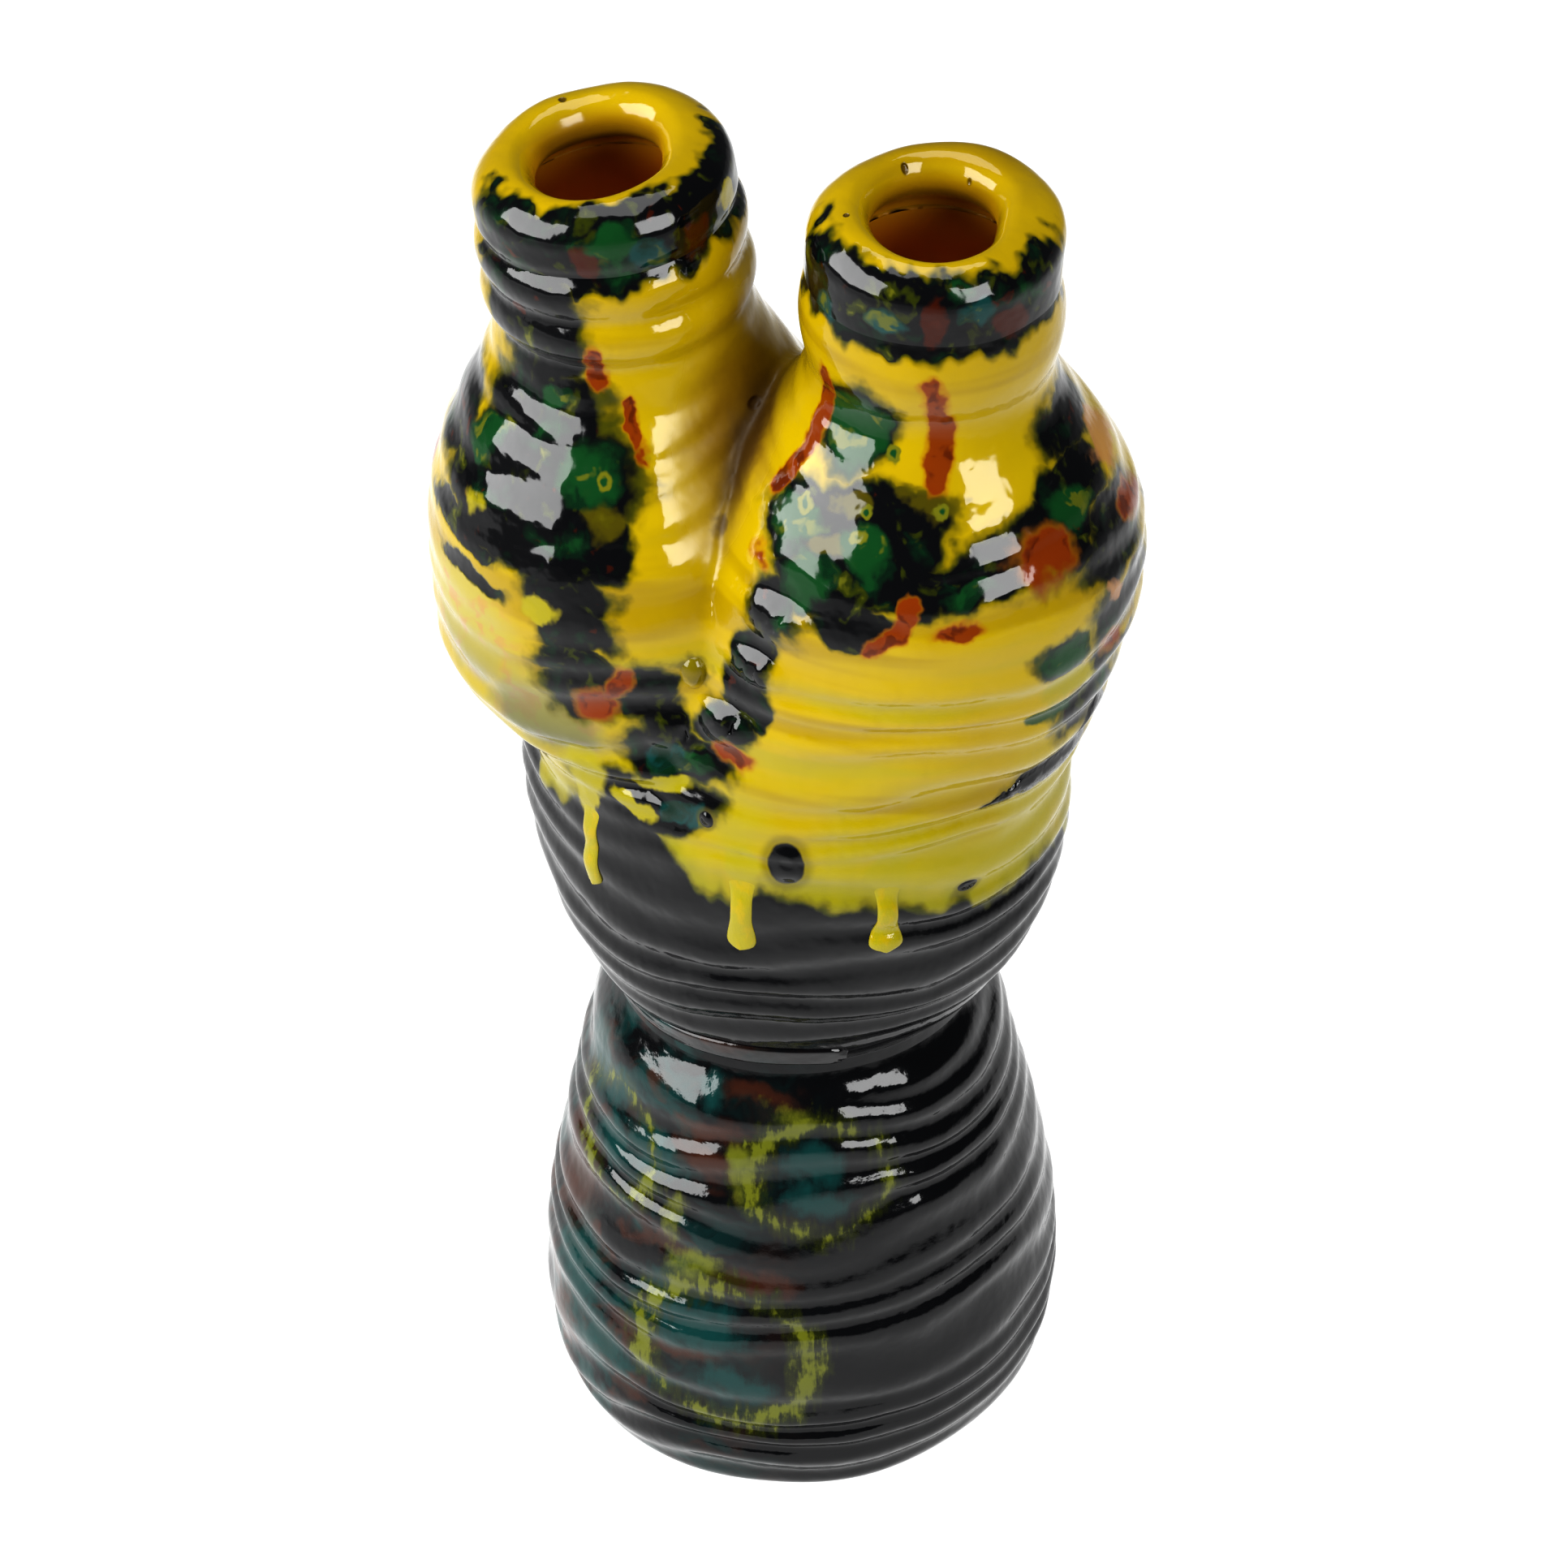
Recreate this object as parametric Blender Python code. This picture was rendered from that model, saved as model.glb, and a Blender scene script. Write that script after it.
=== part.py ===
"""Twin-necked thrown vase, modelled as the clay pieces that it is luted together from.

Lengths are in metres and angles in degrees. The origin is the centre of the flat
underside, +Z is up, and +X runs from the left bottle's axis to the right bottle's.
"""

import math

import bmesh
import bpy
from mathutils import Vector

# Clay and joints
CLEARANCE = 0.0003
WALL = 0.0055
FLOOR_THICKNESS = 0.009
LAP_HEIGHT = 0.0045

# Throwing rings left by the maker's fingers
RING_PITCH = 0.0088
RING_DEPTH = 0.0012
ROWS_PER_RING = 2

# Foot: a ridged bell with a trimmed lower edge
FOOT_HEIGHT = 0.110
FOOT_BASE_RADIUS = 0.0475
FOOT_BELLY_RADIUS = 0.0531
FOOT_BELLY_HEIGHT = 0.020
FOOT_EDGE_HEIGHT = 0.0022
FOOT_TAPER = 1.8

# Waist, with the flattened coil that covers its joint
WAIST_RADIUS = 0.037
WAIST_COIL_HEIGHT = 0.008
WAIST_COIL_DEPTH = 0.0018
WAIST_COIL_BULGE = 0.0006

# Bowl: round at the waist, squeezed to an oval at its lip
BOWL_HEIGHT = 0.062
BOWL_HALF_LENGTH = 0.0555
BOWL_HALF_WIDTH = 0.0435
BOWL_ROUNDNESS = 3.0

# Left bottle, the one that leans outwards
LEFT_OFFSET = 0.0288
LEFT_BELLY_RADIUS = 0.0418
LEFT_BELLY_RISE = 0.031
LEFT_SWELL = 3.4
LEFT_SHOULDER_RISE = 0.0615
LEFT_NECK_RADIUS = 0.0242
LEFT_NECK_RISE = 0.0200
LEFT_RIM_HEIGHT = 0.0130
LEFT_MOUTH_RADIUS = 0.0122
LEFT_TILT = -7.5

# Right bottle, the upright one
RIGHT_OFFSET = 0.0265
RIGHT_BELLY_RADIUS = 0.0406
RIGHT_BELLY_RISE = 0.045
RIGHT_SWELL = 1.3
RIGHT_SHOULDER_RISE = 0.0505
RIGHT_NECK_RADIUS = 0.0229
RIGHT_NECK_RISE = 0.0180
RIGHT_RIM_HEIGHT = 0.0140
RIGHT_MOUTH_RADIUS = 0.0115
RIGHT_TILT = 1.8

# Where the bottles meet, and how high the web between them stays full
SEAM_X = -0.0035
WEB_HEIGHT = 0.066

# Shapes that both bottles share
SHOULDER_FULLNESS = 1.4
NECK_BULGE = 0.0008
RIM_PROUD = 0.0005

# Coil pressed into the groove between the bottles, and the pellet at its lower front end
SEAM_COIL_RADIUS = 0.0052
SEAM_COIL_PROUD = 0.0022
SEAM_COIL_FOOT = 0.038
SEAM_COIL_TAPER = 0.35
SEAM_COIL_TAPER_FROM = 0.75
PELLET_RADIUS = 0.0036

# Runs of thick glaze on the front of the bowl: how wide, and how thick at the bulb
RUN_HALF_WIDTH = 0.0021
RUN_BULB_HALF_WIDTH = 0.0029
RUN_THICKNESS = 0.0012
RUN_END_SQUARENESS = 8
LEFT_RUN_ANGLE = -120.5
LEFT_RUN_LENGTH = 0.0205
LEFT_RUN_DROP = 0.001
CENTRE_RUN_ANGLE = -84.5
CENTRE_RUN_LENGTH = 0.0165
CENTRE_RUN_DROP = 0.0075
RIGHT_RUN_ANGLE = -54.5
RIGHT_RUN_LENGTH = 0.0145
RIGHT_RUN_DROP = 0.008

# Mesh fineness
FOOT_STEPS = 40
BOTTLE_STEPS = 32
INNER_ROWS = 8
WAIST_COIL_ROWS = 7
NECK_ROWS = 7
ROLL_ROWS = 8
SEAM_COIL_POINTS = 24
SEAM_COIL_RESOLUTION = 2
PELLET_STEPS = 14
PELLET_ROWS = 8
RUN_STEPS = 12
RUN_ROWS = 9
BISECTIONS = 40
MERGE_DISTANCE = 0.000001
SHARP_ANGLE = 50.0

# Glaze colours, roughness
BLACK_GLAZE = ((0.022, 0.022, 0.026, 1.0), 0.12)
YELLOW_GLAZE = ((0.72, 0.53, 0.035, 1.0), 0.10)
GOLDEN_GLAZE = ((0.66, 0.40, 0.02, 1.0), 0.10)
PALE_GLAZE = ((0.70, 0.62, 0.16, 1.0), 0.12)

# Levels that follow from the sizes above
BOWL_LIP = FOOT_HEIGHT + BOWL_HEIGHT
OVAL_START = FOOT_HEIGHT + LAP_HEIGHT + CLEARANCE


def clear_scene():
    for old in list(bpy.data.objects):
        bpy.data.objects.remove(old)


def glaze(name, finish):
    colour, roughness = finish
    material = bpy.data.materials.new(name + "_glaze")
    material.use_nodes = True
    shader = material.node_tree.nodes["Principled BSDF"]
    shader.inputs["Base Color"].default_value = colour
    shader.inputs["Roughness"].default_value = roughness
    shader.inputs["Metallic"].default_value = 0.0
    material.diffuse_color = colour
    return material


def spaced(start, end, count):
    """Evenly spaced values from start to end, both included."""
    return [start + (end - start) * i / (count - 1) for i in range(count)]


def smooth(share):
    share = min(max(share, 0.0), 1.0)
    return share * share * (3.0 - 2.0 * share)


def ring_relief(height):
    """How far a throwing ring's groove sinks in at this height."""
    return RING_DEPTH * 0.5 * (math.cos(2.0 * math.pi * height / RING_PITCH) - 1.0)


def ring_heights(start, end):
    """Heights that fall on the crests and grooves between two levels."""
    count = max(2, round((end - start) / RING_PITCH * ROWS_PER_RING) + 1)
    return spaced(start, end, count)


def throw(outline, steps, closed):
    """Spin an outline of (radius, height) points round Z, as on a wheel."""
    mesh = bmesh.new()
    points = [mesh.verts.new((radius, 0.0, height)) for radius, height in outline]
    edges = [mesh.edges.new(pair) for pair in zip(points, points[1:])]
    if closed:
        edges.append(mesh.edges.new((points[-1], points[0])))
    bmesh.ops.spin(mesh, geom=points + edges, cent=(0, 0, 0), axis=(0, 0, 1),
                   angle=2.0 * math.pi, steps=steps, use_merge=True)
    bmesh.ops.remove_doubles(mesh, verts=mesh.verts, dist=MERGE_DISTANCE)
    bmesh.ops.recalc_face_normals(mesh, faces=mesh.faces)
    return mesh


def reshape(mesh, change):
    for vert in mesh.verts:
        vert.co = change(vert.co)


def add_piece(name, mesh, finish, place, parent):
    """Turn a bmesh into a named object with its own glaze."""
    data = bpy.data.meshes.new(name)
    mesh.to_mesh(data)
    mesh.free()
    data.shade_smooth()
    data.set_sharp_from_angle(angle=math.radians(SHARP_ANGLE))
    if finish is not None:
        data.materials.append(glaze(name, finish))
    piece = bpy.data.objects.new(name, data)
    piece.location = place
    piece.parent = parent
    bpy.context.scene.collection.objects.link(piece)
    return piece


def add_cutter(name, mesh, place, parent):
    cutter = add_piece(name, mesh, None, place, parent)
    cutter.hide_render = True
    cutter.display_type = "WIRE"
    return cutter


def cut(piece, cutter):
    boolean = piece.modifiers.new("cut_" + cutter.name, "BOOLEAN")
    boolean.operation = "DIFFERENCE"
    boolean.solver = "EXACT"
    boolean.object = cutter


# Foot and waist

def foot_radius(height):
    """Outer radius of the bell without its rings."""
    if height < FOOT_BELLY_HEIGHT:
        share = 1.0 - height / FOOT_BELLY_HEIGHT
        return FOOT_BASE_RADIUS + (FOOT_BELLY_RADIUS - FOOT_BASE_RADIUS) * math.sqrt(1.0 - share * share)
    share = (height - FOOT_BELLY_HEIGHT) / (FOOT_HEIGHT - FOOT_BELLY_HEIGHT)
    return FOOT_BELLY_RADIUS - (FOOT_BELLY_RADIUS - WAIST_RADIUS) * share ** FOOT_TAPER


def waist_tongue_radius():
    """Outside of the foot's tongue, half way through the wall behind the coil."""
    return WAIST_RADIUS - 0.5 * (WALL + WAIST_COIL_DEPTH)


def make_foot(parent):
    groove_low = FOOT_HEIGHT - 0.5 * WAIST_COIL_HEIGHT
    groove_radius = WAIST_RADIUS - WAIST_COIL_DEPTH
    tongue = waist_tongue_radius()
    tongue_top = FOOT_HEIGHT + LAP_HEIGHT
    outline = [(0.0, 0.0), (FOOT_BASE_RADIUS, 0.0)]
    for height in ring_heights(FOOT_EDGE_HEIGHT, groove_low):
        outline.append((foot_radius(height) + ring_relief(height), height))
    outline += [(groove_radius, groove_low), (groove_radius, FOOT_HEIGHT)]
    outline += [(tongue, FOOT_HEIGHT), (tongue, tongue_top), (WAIST_RADIUS - WALL, tongue_top)]
    for height in spaced(FOOT_HEIGHT, FLOOR_THICKNESS, INNER_ROWS):
        outline.append((foot_radius(height) - WALL, height))
    outline.append((0.0, FLOOR_THICKNESS))
    mesh = throw(outline, FOOT_STEPS, closed=False)
    return add_piece("foot_section", mesh, BLACK_GLAZE, (0, 0, 0), parent)


def make_waist_coil(parent):
    half = 0.5 * WAIST_COIL_HEIGHT - CLEARANCE
    inside = WAIST_RADIUS - WAIST_COIL_DEPTH + CLEARANCE
    outline = [(inside, FOOT_HEIGHT + half), (inside, FOOT_HEIGHT - half)]
    for offset in spaced(-half, half, WAIST_COIL_ROWS):
        height = FOOT_HEIGHT + offset
        skin = foot_radius(height) if offset < 0.0 else bowl_radius(height)
        bulge = WAIST_COIL_BULGE * (1.0 - (offset / half) ** 2)
        outline.append((skin + bulge, height))
    mesh = throw(outline, FOOT_STEPS, closed=True)
    return add_piece("waist_coil", mesh, BLACK_GLAZE, (0, 0, 0), parent)


# Bowl

def bowl_radius(height):
    """Half length of the bowl without its rings."""
    share = min((height - FOOT_HEIGHT) / BOWL_HEIGHT, 1.0)
    return WAIST_RADIUS + (BOWL_HALF_LENGTH - WAIST_RADIUS) * (1.0 - (1.0 - share) ** BOWL_ROUNDNESS)


def bowl_squeeze(height):
    """Half width over half length: 1 at the waist, the oval's ratio at the lip."""
    share = min(max((height - OVAL_START) / (BOWL_LIP - OVAL_START), 0.0), 1.0)
    return 1.0 - (1.0 - BOWL_HALF_WIDTH / BOWL_HALF_LENGTH) * (1.0 - (1.0 - share) ** 2)


def squeeze_bowl(co):
    return Vector((co.x, co.y * bowl_squeeze(co.z), co.z))


def make_bowl(parent):
    bottom = FOOT_HEIGHT + CLEARANCE
    groove_high = FOOT_HEIGHT + 0.5 * WAIST_COIL_HEIGHT
    groove_radius = WAIST_RADIUS - WAIST_COIL_DEPTH
    socket = waist_tongue_radius() + CLEARANCE
    outline = [(socket, bottom), (groove_radius, bottom), (groove_radius, groove_high)]
    for height in ring_heights(groove_high, BOWL_LIP):
        outline.append((bowl_radius(height) + ring_relief(height), height))
    for height in spaced(BOWL_LIP, OVAL_START, INNER_ROWS):
        outline.append((max(bowl_radius(height) - WALL, socket), height))
    mesh = throw(outline, FOOT_STEPS, closed=True)
    reshape(mesh, squeeze_bowl)
    return add_piece("bowl_section", mesh, BLACK_GLAZE, (0, 0, 0), parent)


# Bottles

def bottle_sizes(side):
    """One bottle's sizes and the levels along its axis, counted from the bowl's lip."""
    if side == "left":
        sizes = dict(x=-LEFT_OFFSET, belly=LEFT_BELLY_RADIUS, belly_at=LEFT_BELLY_RISE, swell=LEFT_SWELL,
                     shoulder=LEFT_SHOULDER_RISE, neck=LEFT_NECK_RADIUS, neck_rise=LEFT_NECK_RISE,
                     rim=LEFT_RIM_HEIGHT, mouth=LEFT_MOUTH_RADIUS, tilt=math.radians(LEFT_TILT))
    else:
        sizes = dict(x=RIGHT_OFFSET, belly=RIGHT_BELLY_RADIUS, belly_at=RIGHT_BELLY_RISE, swell=RIGHT_SWELL,
                     shoulder=RIGHT_SHOULDER_RISE, neck=RIGHT_NECK_RADIUS, neck_rise=RIGHT_NECK_RISE,
                     rim=RIGHT_RIM_HEIGHT, mouth=RIGHT_MOUTH_RADIUS, tilt=math.radians(RIGHT_TILT))
    sizes["side"] = side
    sizes["neck_at"] = sizes["belly_at"] + sizes["shoulder"]
    sizes["rim_at"] = sizes["neck_at"] + sizes["neck_rise"]
    sizes["top"] = sizes["rim_at"] + sizes["rim"]
    sizes["origin"] = Vector((sizes["x"], 0.0, BOWL_LIP + CLEARANCE))
    return sizes


def bottle_radius(bottle, level):
    """Round outer radius of belly and shoulder, without rings."""
    if level < bottle["belly_at"]:
        return bottle["belly"]
    share = min((level - bottle["belly_at"]) / bottle["shoulder"], 1.0)
    return bottle["belly"] - (bottle["belly"] - bottle["neck"]) * smooth(share ** SHOULDER_FULLNESS)


def lip_reach(bottle, angle):
    """Distance from the bottle's axis to the bowl's oval lip, in a given direction."""
    across, along = math.sin(angle) / BOWL_HALF_WIDTH, math.cos(angle) / BOWL_HALF_LENGTH
    start = bottle["x"] / BOWL_HALF_LENGTH
    square = across * across + along * along
    half = start * along
    return (math.sqrt(half * half + square * (1.0 - start * start)) - half) / square


def fitted_radius(bottle, level, angle):
    """Outer radius after the lower belly has been fitted to the bowl's lip."""
    round_radius = bottle_radius(bottle, level)
    towards_seam = 0.5 - 0.5 * math.cos(angle) * math.copysign(1.0, bottle["x"])
    full_height = bottle["belly_at"] + (WEB_HEIGHT - bottle["belly_at"]) * towards_seam
    share = min(max(1.0 - level / full_height, 0.0), 1.0)
    return round_radius + (lip_reach(bottle, angle) - round_radius) * share ** bottle["swell"]


def axis_point(bottle, level):
    """Centre of the bottle's bent axis at a level, and how far it is turned there."""
    turn = bottle["tilt"] * level / bottle["top"]
    return Vector((level * math.sin(0.5 * turn), 0.0, level * math.cos(0.5 * turn))), turn


def lean(bottle, co):
    centre, turn = axis_point(bottle, co.z)
    return centre + Vector((co.x * math.cos(turn), co.y, -co.x * math.sin(turn)))


def fit_and_lean(bottle, co):
    """Fit a turned belly to the bowl's lip, then lean it along the bottle's axis."""
    radius = math.hypot(co.x, co.y)
    if radius > 0.0:
        angle = math.atan2(co.y, co.x)
        moved = radius + fitted_radius(bottle, co.z, angle) - bottle_radius(bottle, co.z)
        co = Vector((moved * math.cos(angle), moved * math.sin(angle), co.z))
    return lean(bottle, co)


def make_seam_block(side, parent):
    """Block on the far side of the seam plane; its face leaves half a clearance to the plane."""
    size = 4.0 * (LEFT_BELLY_RADIUS + RIGHT_BELLY_RADIUS)
    away = 0.5 * (size - CLEARANCE) * (1.0 if side == "left" else -1.0)
    mesh = bmesh.new()
    bmesh.ops.create_cube(mesh, size=size)
    place = (SEAM_X + away, 0.0, BOWL_LIP + 0.5 * (size - BOWL_HEIGHT))
    return add_cutter(side + "_seam_cutter", mesh, place, parent)


def make_bottle(bottle, parent):
    tongue = bottle["neck"] - 0.5 * WALL
    bore = bottle["neck"] - WALL
    tongue_top = bottle["neck_at"] + LAP_HEIGHT
    outline = []
    for level in ring_heights(0.0, bottle["neck_at"]):
        outline.append((bottle_radius(bottle, level) + ring_relief(level), level))
    outline += [(tongue, bottle["neck_at"]), (tongue, tongue_top), (bore, tongue_top)]
    for level in spaced(bottle["neck_at"], 0.0, INNER_ROWS):
        outline.append((bottle_radius(bottle, level) - WALL, level))
    mesh = throw(outline, BOTTLE_STEPS, closed=True)
    reshape(mesh, lambda co: fit_and_lean(bottle, co))
    piece = add_piece(bottle["side"] + "_bottle", mesh, YELLOW_GLAZE, bottle["origin"], parent)
    cut(piece, make_seam_block(bottle["side"], parent))
    return piece


def make_neck(bottle, parent):
    bottom = bottle["neck_at"] + CLEARANCE
    tongue = bottle["neck"] - 0.5 * WALL
    socket = tongue + CLEARANCE
    socket_top = bottle["neck_at"] + LAP_HEIGHT + 2.0 * CLEARANCE
    bore = bottle["neck"] - WALL
    top = bottle["rim_at"]
    outline = [(socket, bottom)]
    for level in spaced(bottom, top, NECK_ROWS):
        share = (level - bottom) / (top - bottom)
        outline.append((bottle["neck"] + NECK_BULGE * math.sin(math.pi * share), level))
    outline += [(tongue, top), (tongue, top + LAP_HEIGHT), (bore, top + LAP_HEIGHT)]
    outline += [(bore, socket_top), (socket, socket_top)]
    mesh = throw(outline, BOTTLE_STEPS, closed=True)
    reshape(mesh, lambda co: lean(bottle, co))
    return add_piece(bottle["side"] + "_neck", mesh, YELLOW_GLAZE, bottle["origin"], parent)


def make_rim(bottle, parent):
    bottom = bottle["rim_at"] + CLEARANCE
    socket = bottle["neck"] - 0.5 * WALL + CLEARANCE
    socket_top = bottle["rim_at"] + LAP_HEIGHT + 2.0 * CLEARANCE
    outside = bottle["neck"] + RIM_PROUD
    roll = 0.5 * (outside - bottle["mouth"])
    roll_radius = bottle["mouth"] + roll
    roll_level = bottle["top"] - roll
    outline = [(socket, bottom), (bottle["neck"], bottom)]
    for angle in spaced(0.0, math.pi, ROLL_ROWS):
        outline.append((roll_radius + roll * math.cos(angle), roll_level + roll * math.sin(angle)))
    outline += [(bottle["neck"] - WALL, socket_top), (socket, socket_top)]
    mesh = throw(outline, BOTTLE_STEPS, closed=True)
    reshape(mesh, lambda co: lean(bottle, co))
    return add_piece(bottle["side"] + "_rim", mesh, GOLDEN_GLAZE, bottle["origin"], parent)


# Coil and pellet in the groove between the bottles

def add_bottle_solid(bottle, parent):
    """Filled bottle, a clearance larger all round, that cuts what is pressed against it."""
    outline = [(0.0, 0.0)]
    for level in ring_heights(0.0, bottle["neck_at"]):
        outline.append((bottle_radius(bottle, level) + ring_relief(level) + CLEARANCE, level))
    outline.append((0.0, bottle["neck_at"]))
    mesh = throw(outline, BOTTLE_STEPS, closed=False)
    reshape(mesh, lambda co: fit_and_lean(bottle, co))
    return add_cutter(bottle["side"] + "_solid_cutter", mesh, bottle["origin"], parent)


def inside_bottle(bottle, point):
    local = point - bottle["origin"]
    centre, turn = axis_point(bottle, local.z)
    across = local - centre
    radius = math.hypot(across.x, across.y)
    return radius < fitted_radius(bottle, local.z, math.atan2(across.y, across.x))


def groove_point(bottles, start, angle):
    """Where a ray in the seam plane leaves both bottles; angle 0 points to the front."""
    direction = Vector((0.0, -math.cos(angle), math.sin(angle)))
    low, high = 0.0, 2.0 * (LEFT_BELLY_RADIUS + RIGHT_BELLY_RADIUS)
    for _ in range(BISECTIONS):
        middle = 0.5 * (low + high)
        point = start + direction * middle
        if any(inside_bottle(bottle, point) for bottle in bottles):
            low = middle
        else:
            high = middle
    return start + direction * low, direction


def make_seam_coil(bottles, cutters, parent):
    start = Vector((SEAM_X, 0.0, BOWL_LIP + SEAM_COIL_FOOT))
    curve = bpy.data.curves.new("seam_coil", "CURVE")
    curve.dimensions = "3D"
    curve.bevel_depth = SEAM_COIL_RADIUS
    curve.bevel_resolution = SEAM_COIL_RESOLUTION
    curve.use_fill_caps = True
    path = curve.splines.new("POLY")
    path.points.add(SEAM_COIL_POINTS - 1)
    for index, angle in enumerate(spaced(0.0, math.pi, SEAM_COIL_POINTS)):
        point, direction = groove_point(bottles, start, angle)
        end_share = abs(2.0 * index / (SEAM_COIL_POINTS - 1) - 1.0)
        path.points[index].co = (*(point + direction * (SEAM_COIL_PROUD - SEAM_COIL_RADIUS)), 1.0)
        thinning = smooth((end_share - SEAM_COIL_TAPER_FROM) / (1.0 - SEAM_COIL_TAPER_FROM))
        path.points[index].radius = 1.0 - SEAM_COIL_TAPER * thinning
    guide = bpy.data.objects.new("seam_coil_guide", curve)
    bpy.context.scene.collection.objects.link(guide)
    bpy.context.view_layer.update()
    shape = guide.evaluated_get(bpy.context.evaluated_depsgraph_get())
    mesh = bmesh.new()
    mesh.from_mesh(shape.to_mesh())
    bpy.data.objects.remove(guide)
    bmesh.ops.remove_doubles(mesh, verts=mesh.verts, dist=MERGE_DISTANCE)
    bmesh.ops.recalc_face_normals(mesh, faces=mesh.faces)
    piece = add_piece("seam_coil", mesh, YELLOW_GLAZE, (0, 0, 0), parent)
    for cutter in cutters:
        cut(piece, cutter)
    return piece


def make_seam_pellet(bottles, cutters, parent):
    start = Vector((SEAM_X, 0.0, BOWL_LIP + SEAM_COIL_FOOT))
    end, _ = groove_point(bottles, start, 0.0)
    step = (SEAM_COIL_RADIUS + PELLET_RADIUS + CLEARANCE) / (end - start).length
    place, _ = groove_point(bottles, start, -step)
    mesh = bmesh.new()
    bmesh.ops.create_uvsphere(mesh, u_segments=PELLET_STEPS, v_segments=PELLET_ROWS, radius=PELLET_RADIUS)
    piece = add_piece("seam_pellet", mesh, PALE_GLAZE, place, parent)
    for cutter in cutters:
        cut(piece, cutter)
    return piece


# Runs of thick glaze

def hug_bowl(co, angle, top):
    """Lay an upright drop against the bowl: across it, down it, and out from it."""
    height = top + co.z
    skin = bowl_radius(height) + CLEARANCE
    turned = math.radians(angle) + co.x / skin
    out = skin + max(-co.y, 0.0) * RUN_THICKNESS / RUN_BULB_HALF_WIDTH
    return squeeze_bowl(Vector((out * math.cos(turned), out * math.sin(turned), height)))


def make_run(name, angle, drop, length, parent):
    outline = []
    for share in spaced(0.0, 1.0, RUN_ROWS):
        stem = RUN_HALF_WIDTH + (RUN_BULB_HALF_WIDTH - RUN_HALF_WIDTH) * smooth(2.0 * share - 1.0)
        end = math.sqrt(max(1.0 - (2.0 * share - 1.0) ** RUN_END_SQUARENESS, 0.0))
        outline.append((stem * end, -share * length))
    mesh = throw(outline, RUN_STEPS, closed=False)
    top = BOWL_LIP - drop
    reshape(mesh, lambda co: hug_bowl(co, angle, top))
    bmesh.ops.recalc_face_normals(mesh, faces=mesh.faces)
    return add_piece(name, mesh, PALE_GLAZE, (0, 0, 0), parent)


def main():
    clear_scene()
    vase = bpy.data.objects.new("vase", None)
    bpy.context.scene.collection.objects.link(vase)
    make_foot(vase)
    make_waist_coil(vase)
    make_bowl(vase)
    bottles = [bottle_sizes("left"), bottle_sizes("right")]
    for bottle in bottles:
        make_bottle(bottle, vase)
        make_neck(bottle, vase)
        make_rim(bottle, vase)
    cutters = [add_bottle_solid(bottle, vase) for bottle in bottles]
    make_seam_coil(bottles, cutters, vase)
    make_seam_pellet(bottles, cutters, vase)
    make_run("left_glaze_run", LEFT_RUN_ANGLE, LEFT_RUN_DROP, LEFT_RUN_LENGTH, vase)
    make_run("centre_glaze_run", CENTRE_RUN_ANGLE, CENTRE_RUN_DROP, CENTRE_RUN_LENGTH, vase)
    make_run("right_glaze_run", RIGHT_RUN_ANGLE, RIGHT_RUN_DROP, RIGHT_RUN_LENGTH, vase)


main()
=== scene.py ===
import math
import bpy
from mathutils import Matrix, Vector, noise
from mathutils.bvhtree import BVHTree


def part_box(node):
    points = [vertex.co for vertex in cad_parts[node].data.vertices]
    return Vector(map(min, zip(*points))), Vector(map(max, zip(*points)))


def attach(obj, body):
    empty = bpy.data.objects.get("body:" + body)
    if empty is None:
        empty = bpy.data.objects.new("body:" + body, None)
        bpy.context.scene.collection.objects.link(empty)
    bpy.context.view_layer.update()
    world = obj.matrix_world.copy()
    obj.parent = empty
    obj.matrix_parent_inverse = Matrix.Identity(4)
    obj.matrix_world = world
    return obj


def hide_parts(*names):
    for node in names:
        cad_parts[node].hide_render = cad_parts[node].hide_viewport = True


noise.seed_set(2)  # the same drift in every run
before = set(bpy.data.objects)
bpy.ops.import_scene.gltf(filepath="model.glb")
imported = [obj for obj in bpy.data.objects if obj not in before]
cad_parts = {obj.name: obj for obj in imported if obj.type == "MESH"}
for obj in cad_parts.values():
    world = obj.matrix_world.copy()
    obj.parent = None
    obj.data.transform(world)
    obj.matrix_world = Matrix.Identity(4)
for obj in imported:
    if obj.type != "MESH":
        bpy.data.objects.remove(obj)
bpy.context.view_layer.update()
print("frame loaded")

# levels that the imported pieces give, in metres
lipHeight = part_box("bowl_section")[1].z
coilLow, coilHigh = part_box("waist_coil")[0].z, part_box("waist_coil")[1].z
waistHeight = 0.5 * (coilLow + coilHigh)

rings = dict(pitch=0.0088, sharpness=1.15, waver=0.75, uneven=0.8, roundSize=1.2, upSize=0.022)
clay = dict(wall=0.0055, floor=0.009, slowWobble=0.0010, slowSize=0.055, fastWobble=0.00032, fastSize=0.012,
            calmBase=0.012, sharpAngle=50)


# small helpers

def deselectAll():
    if bpy.context.object and bpy.context.object.mode != "OBJECT":
        bpy.ops.object.mode_set(mode="OBJECT")
    bpy.ops.object.select_all(action="DESELECT")


def makeActive(piece):
    deselectAll()
    piece.select_set(True)
    bpy.context.view_layer.objects.active = piece


def evenly(start, end, count):
    return [start + (end - start) * i / (count - 1) for i in range(count)]


def clamp(share):
    return min(max(share, 0.0), 1.0)


def smooth(share):
    share = clamp(share)
    return share * share * (3.0 - 2.0 * share)


def bump(value, middle, reach):
    return smooth(1.0 - abs(value - middle) / reach)


def polar(radius, angle, height):
    return Vector((radius * math.cos(angle), radius * math.sin(angle), height))


def polarOf(co):
    return math.hypot(co.x, co.y), math.atan2(co.y, co.x)


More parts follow.
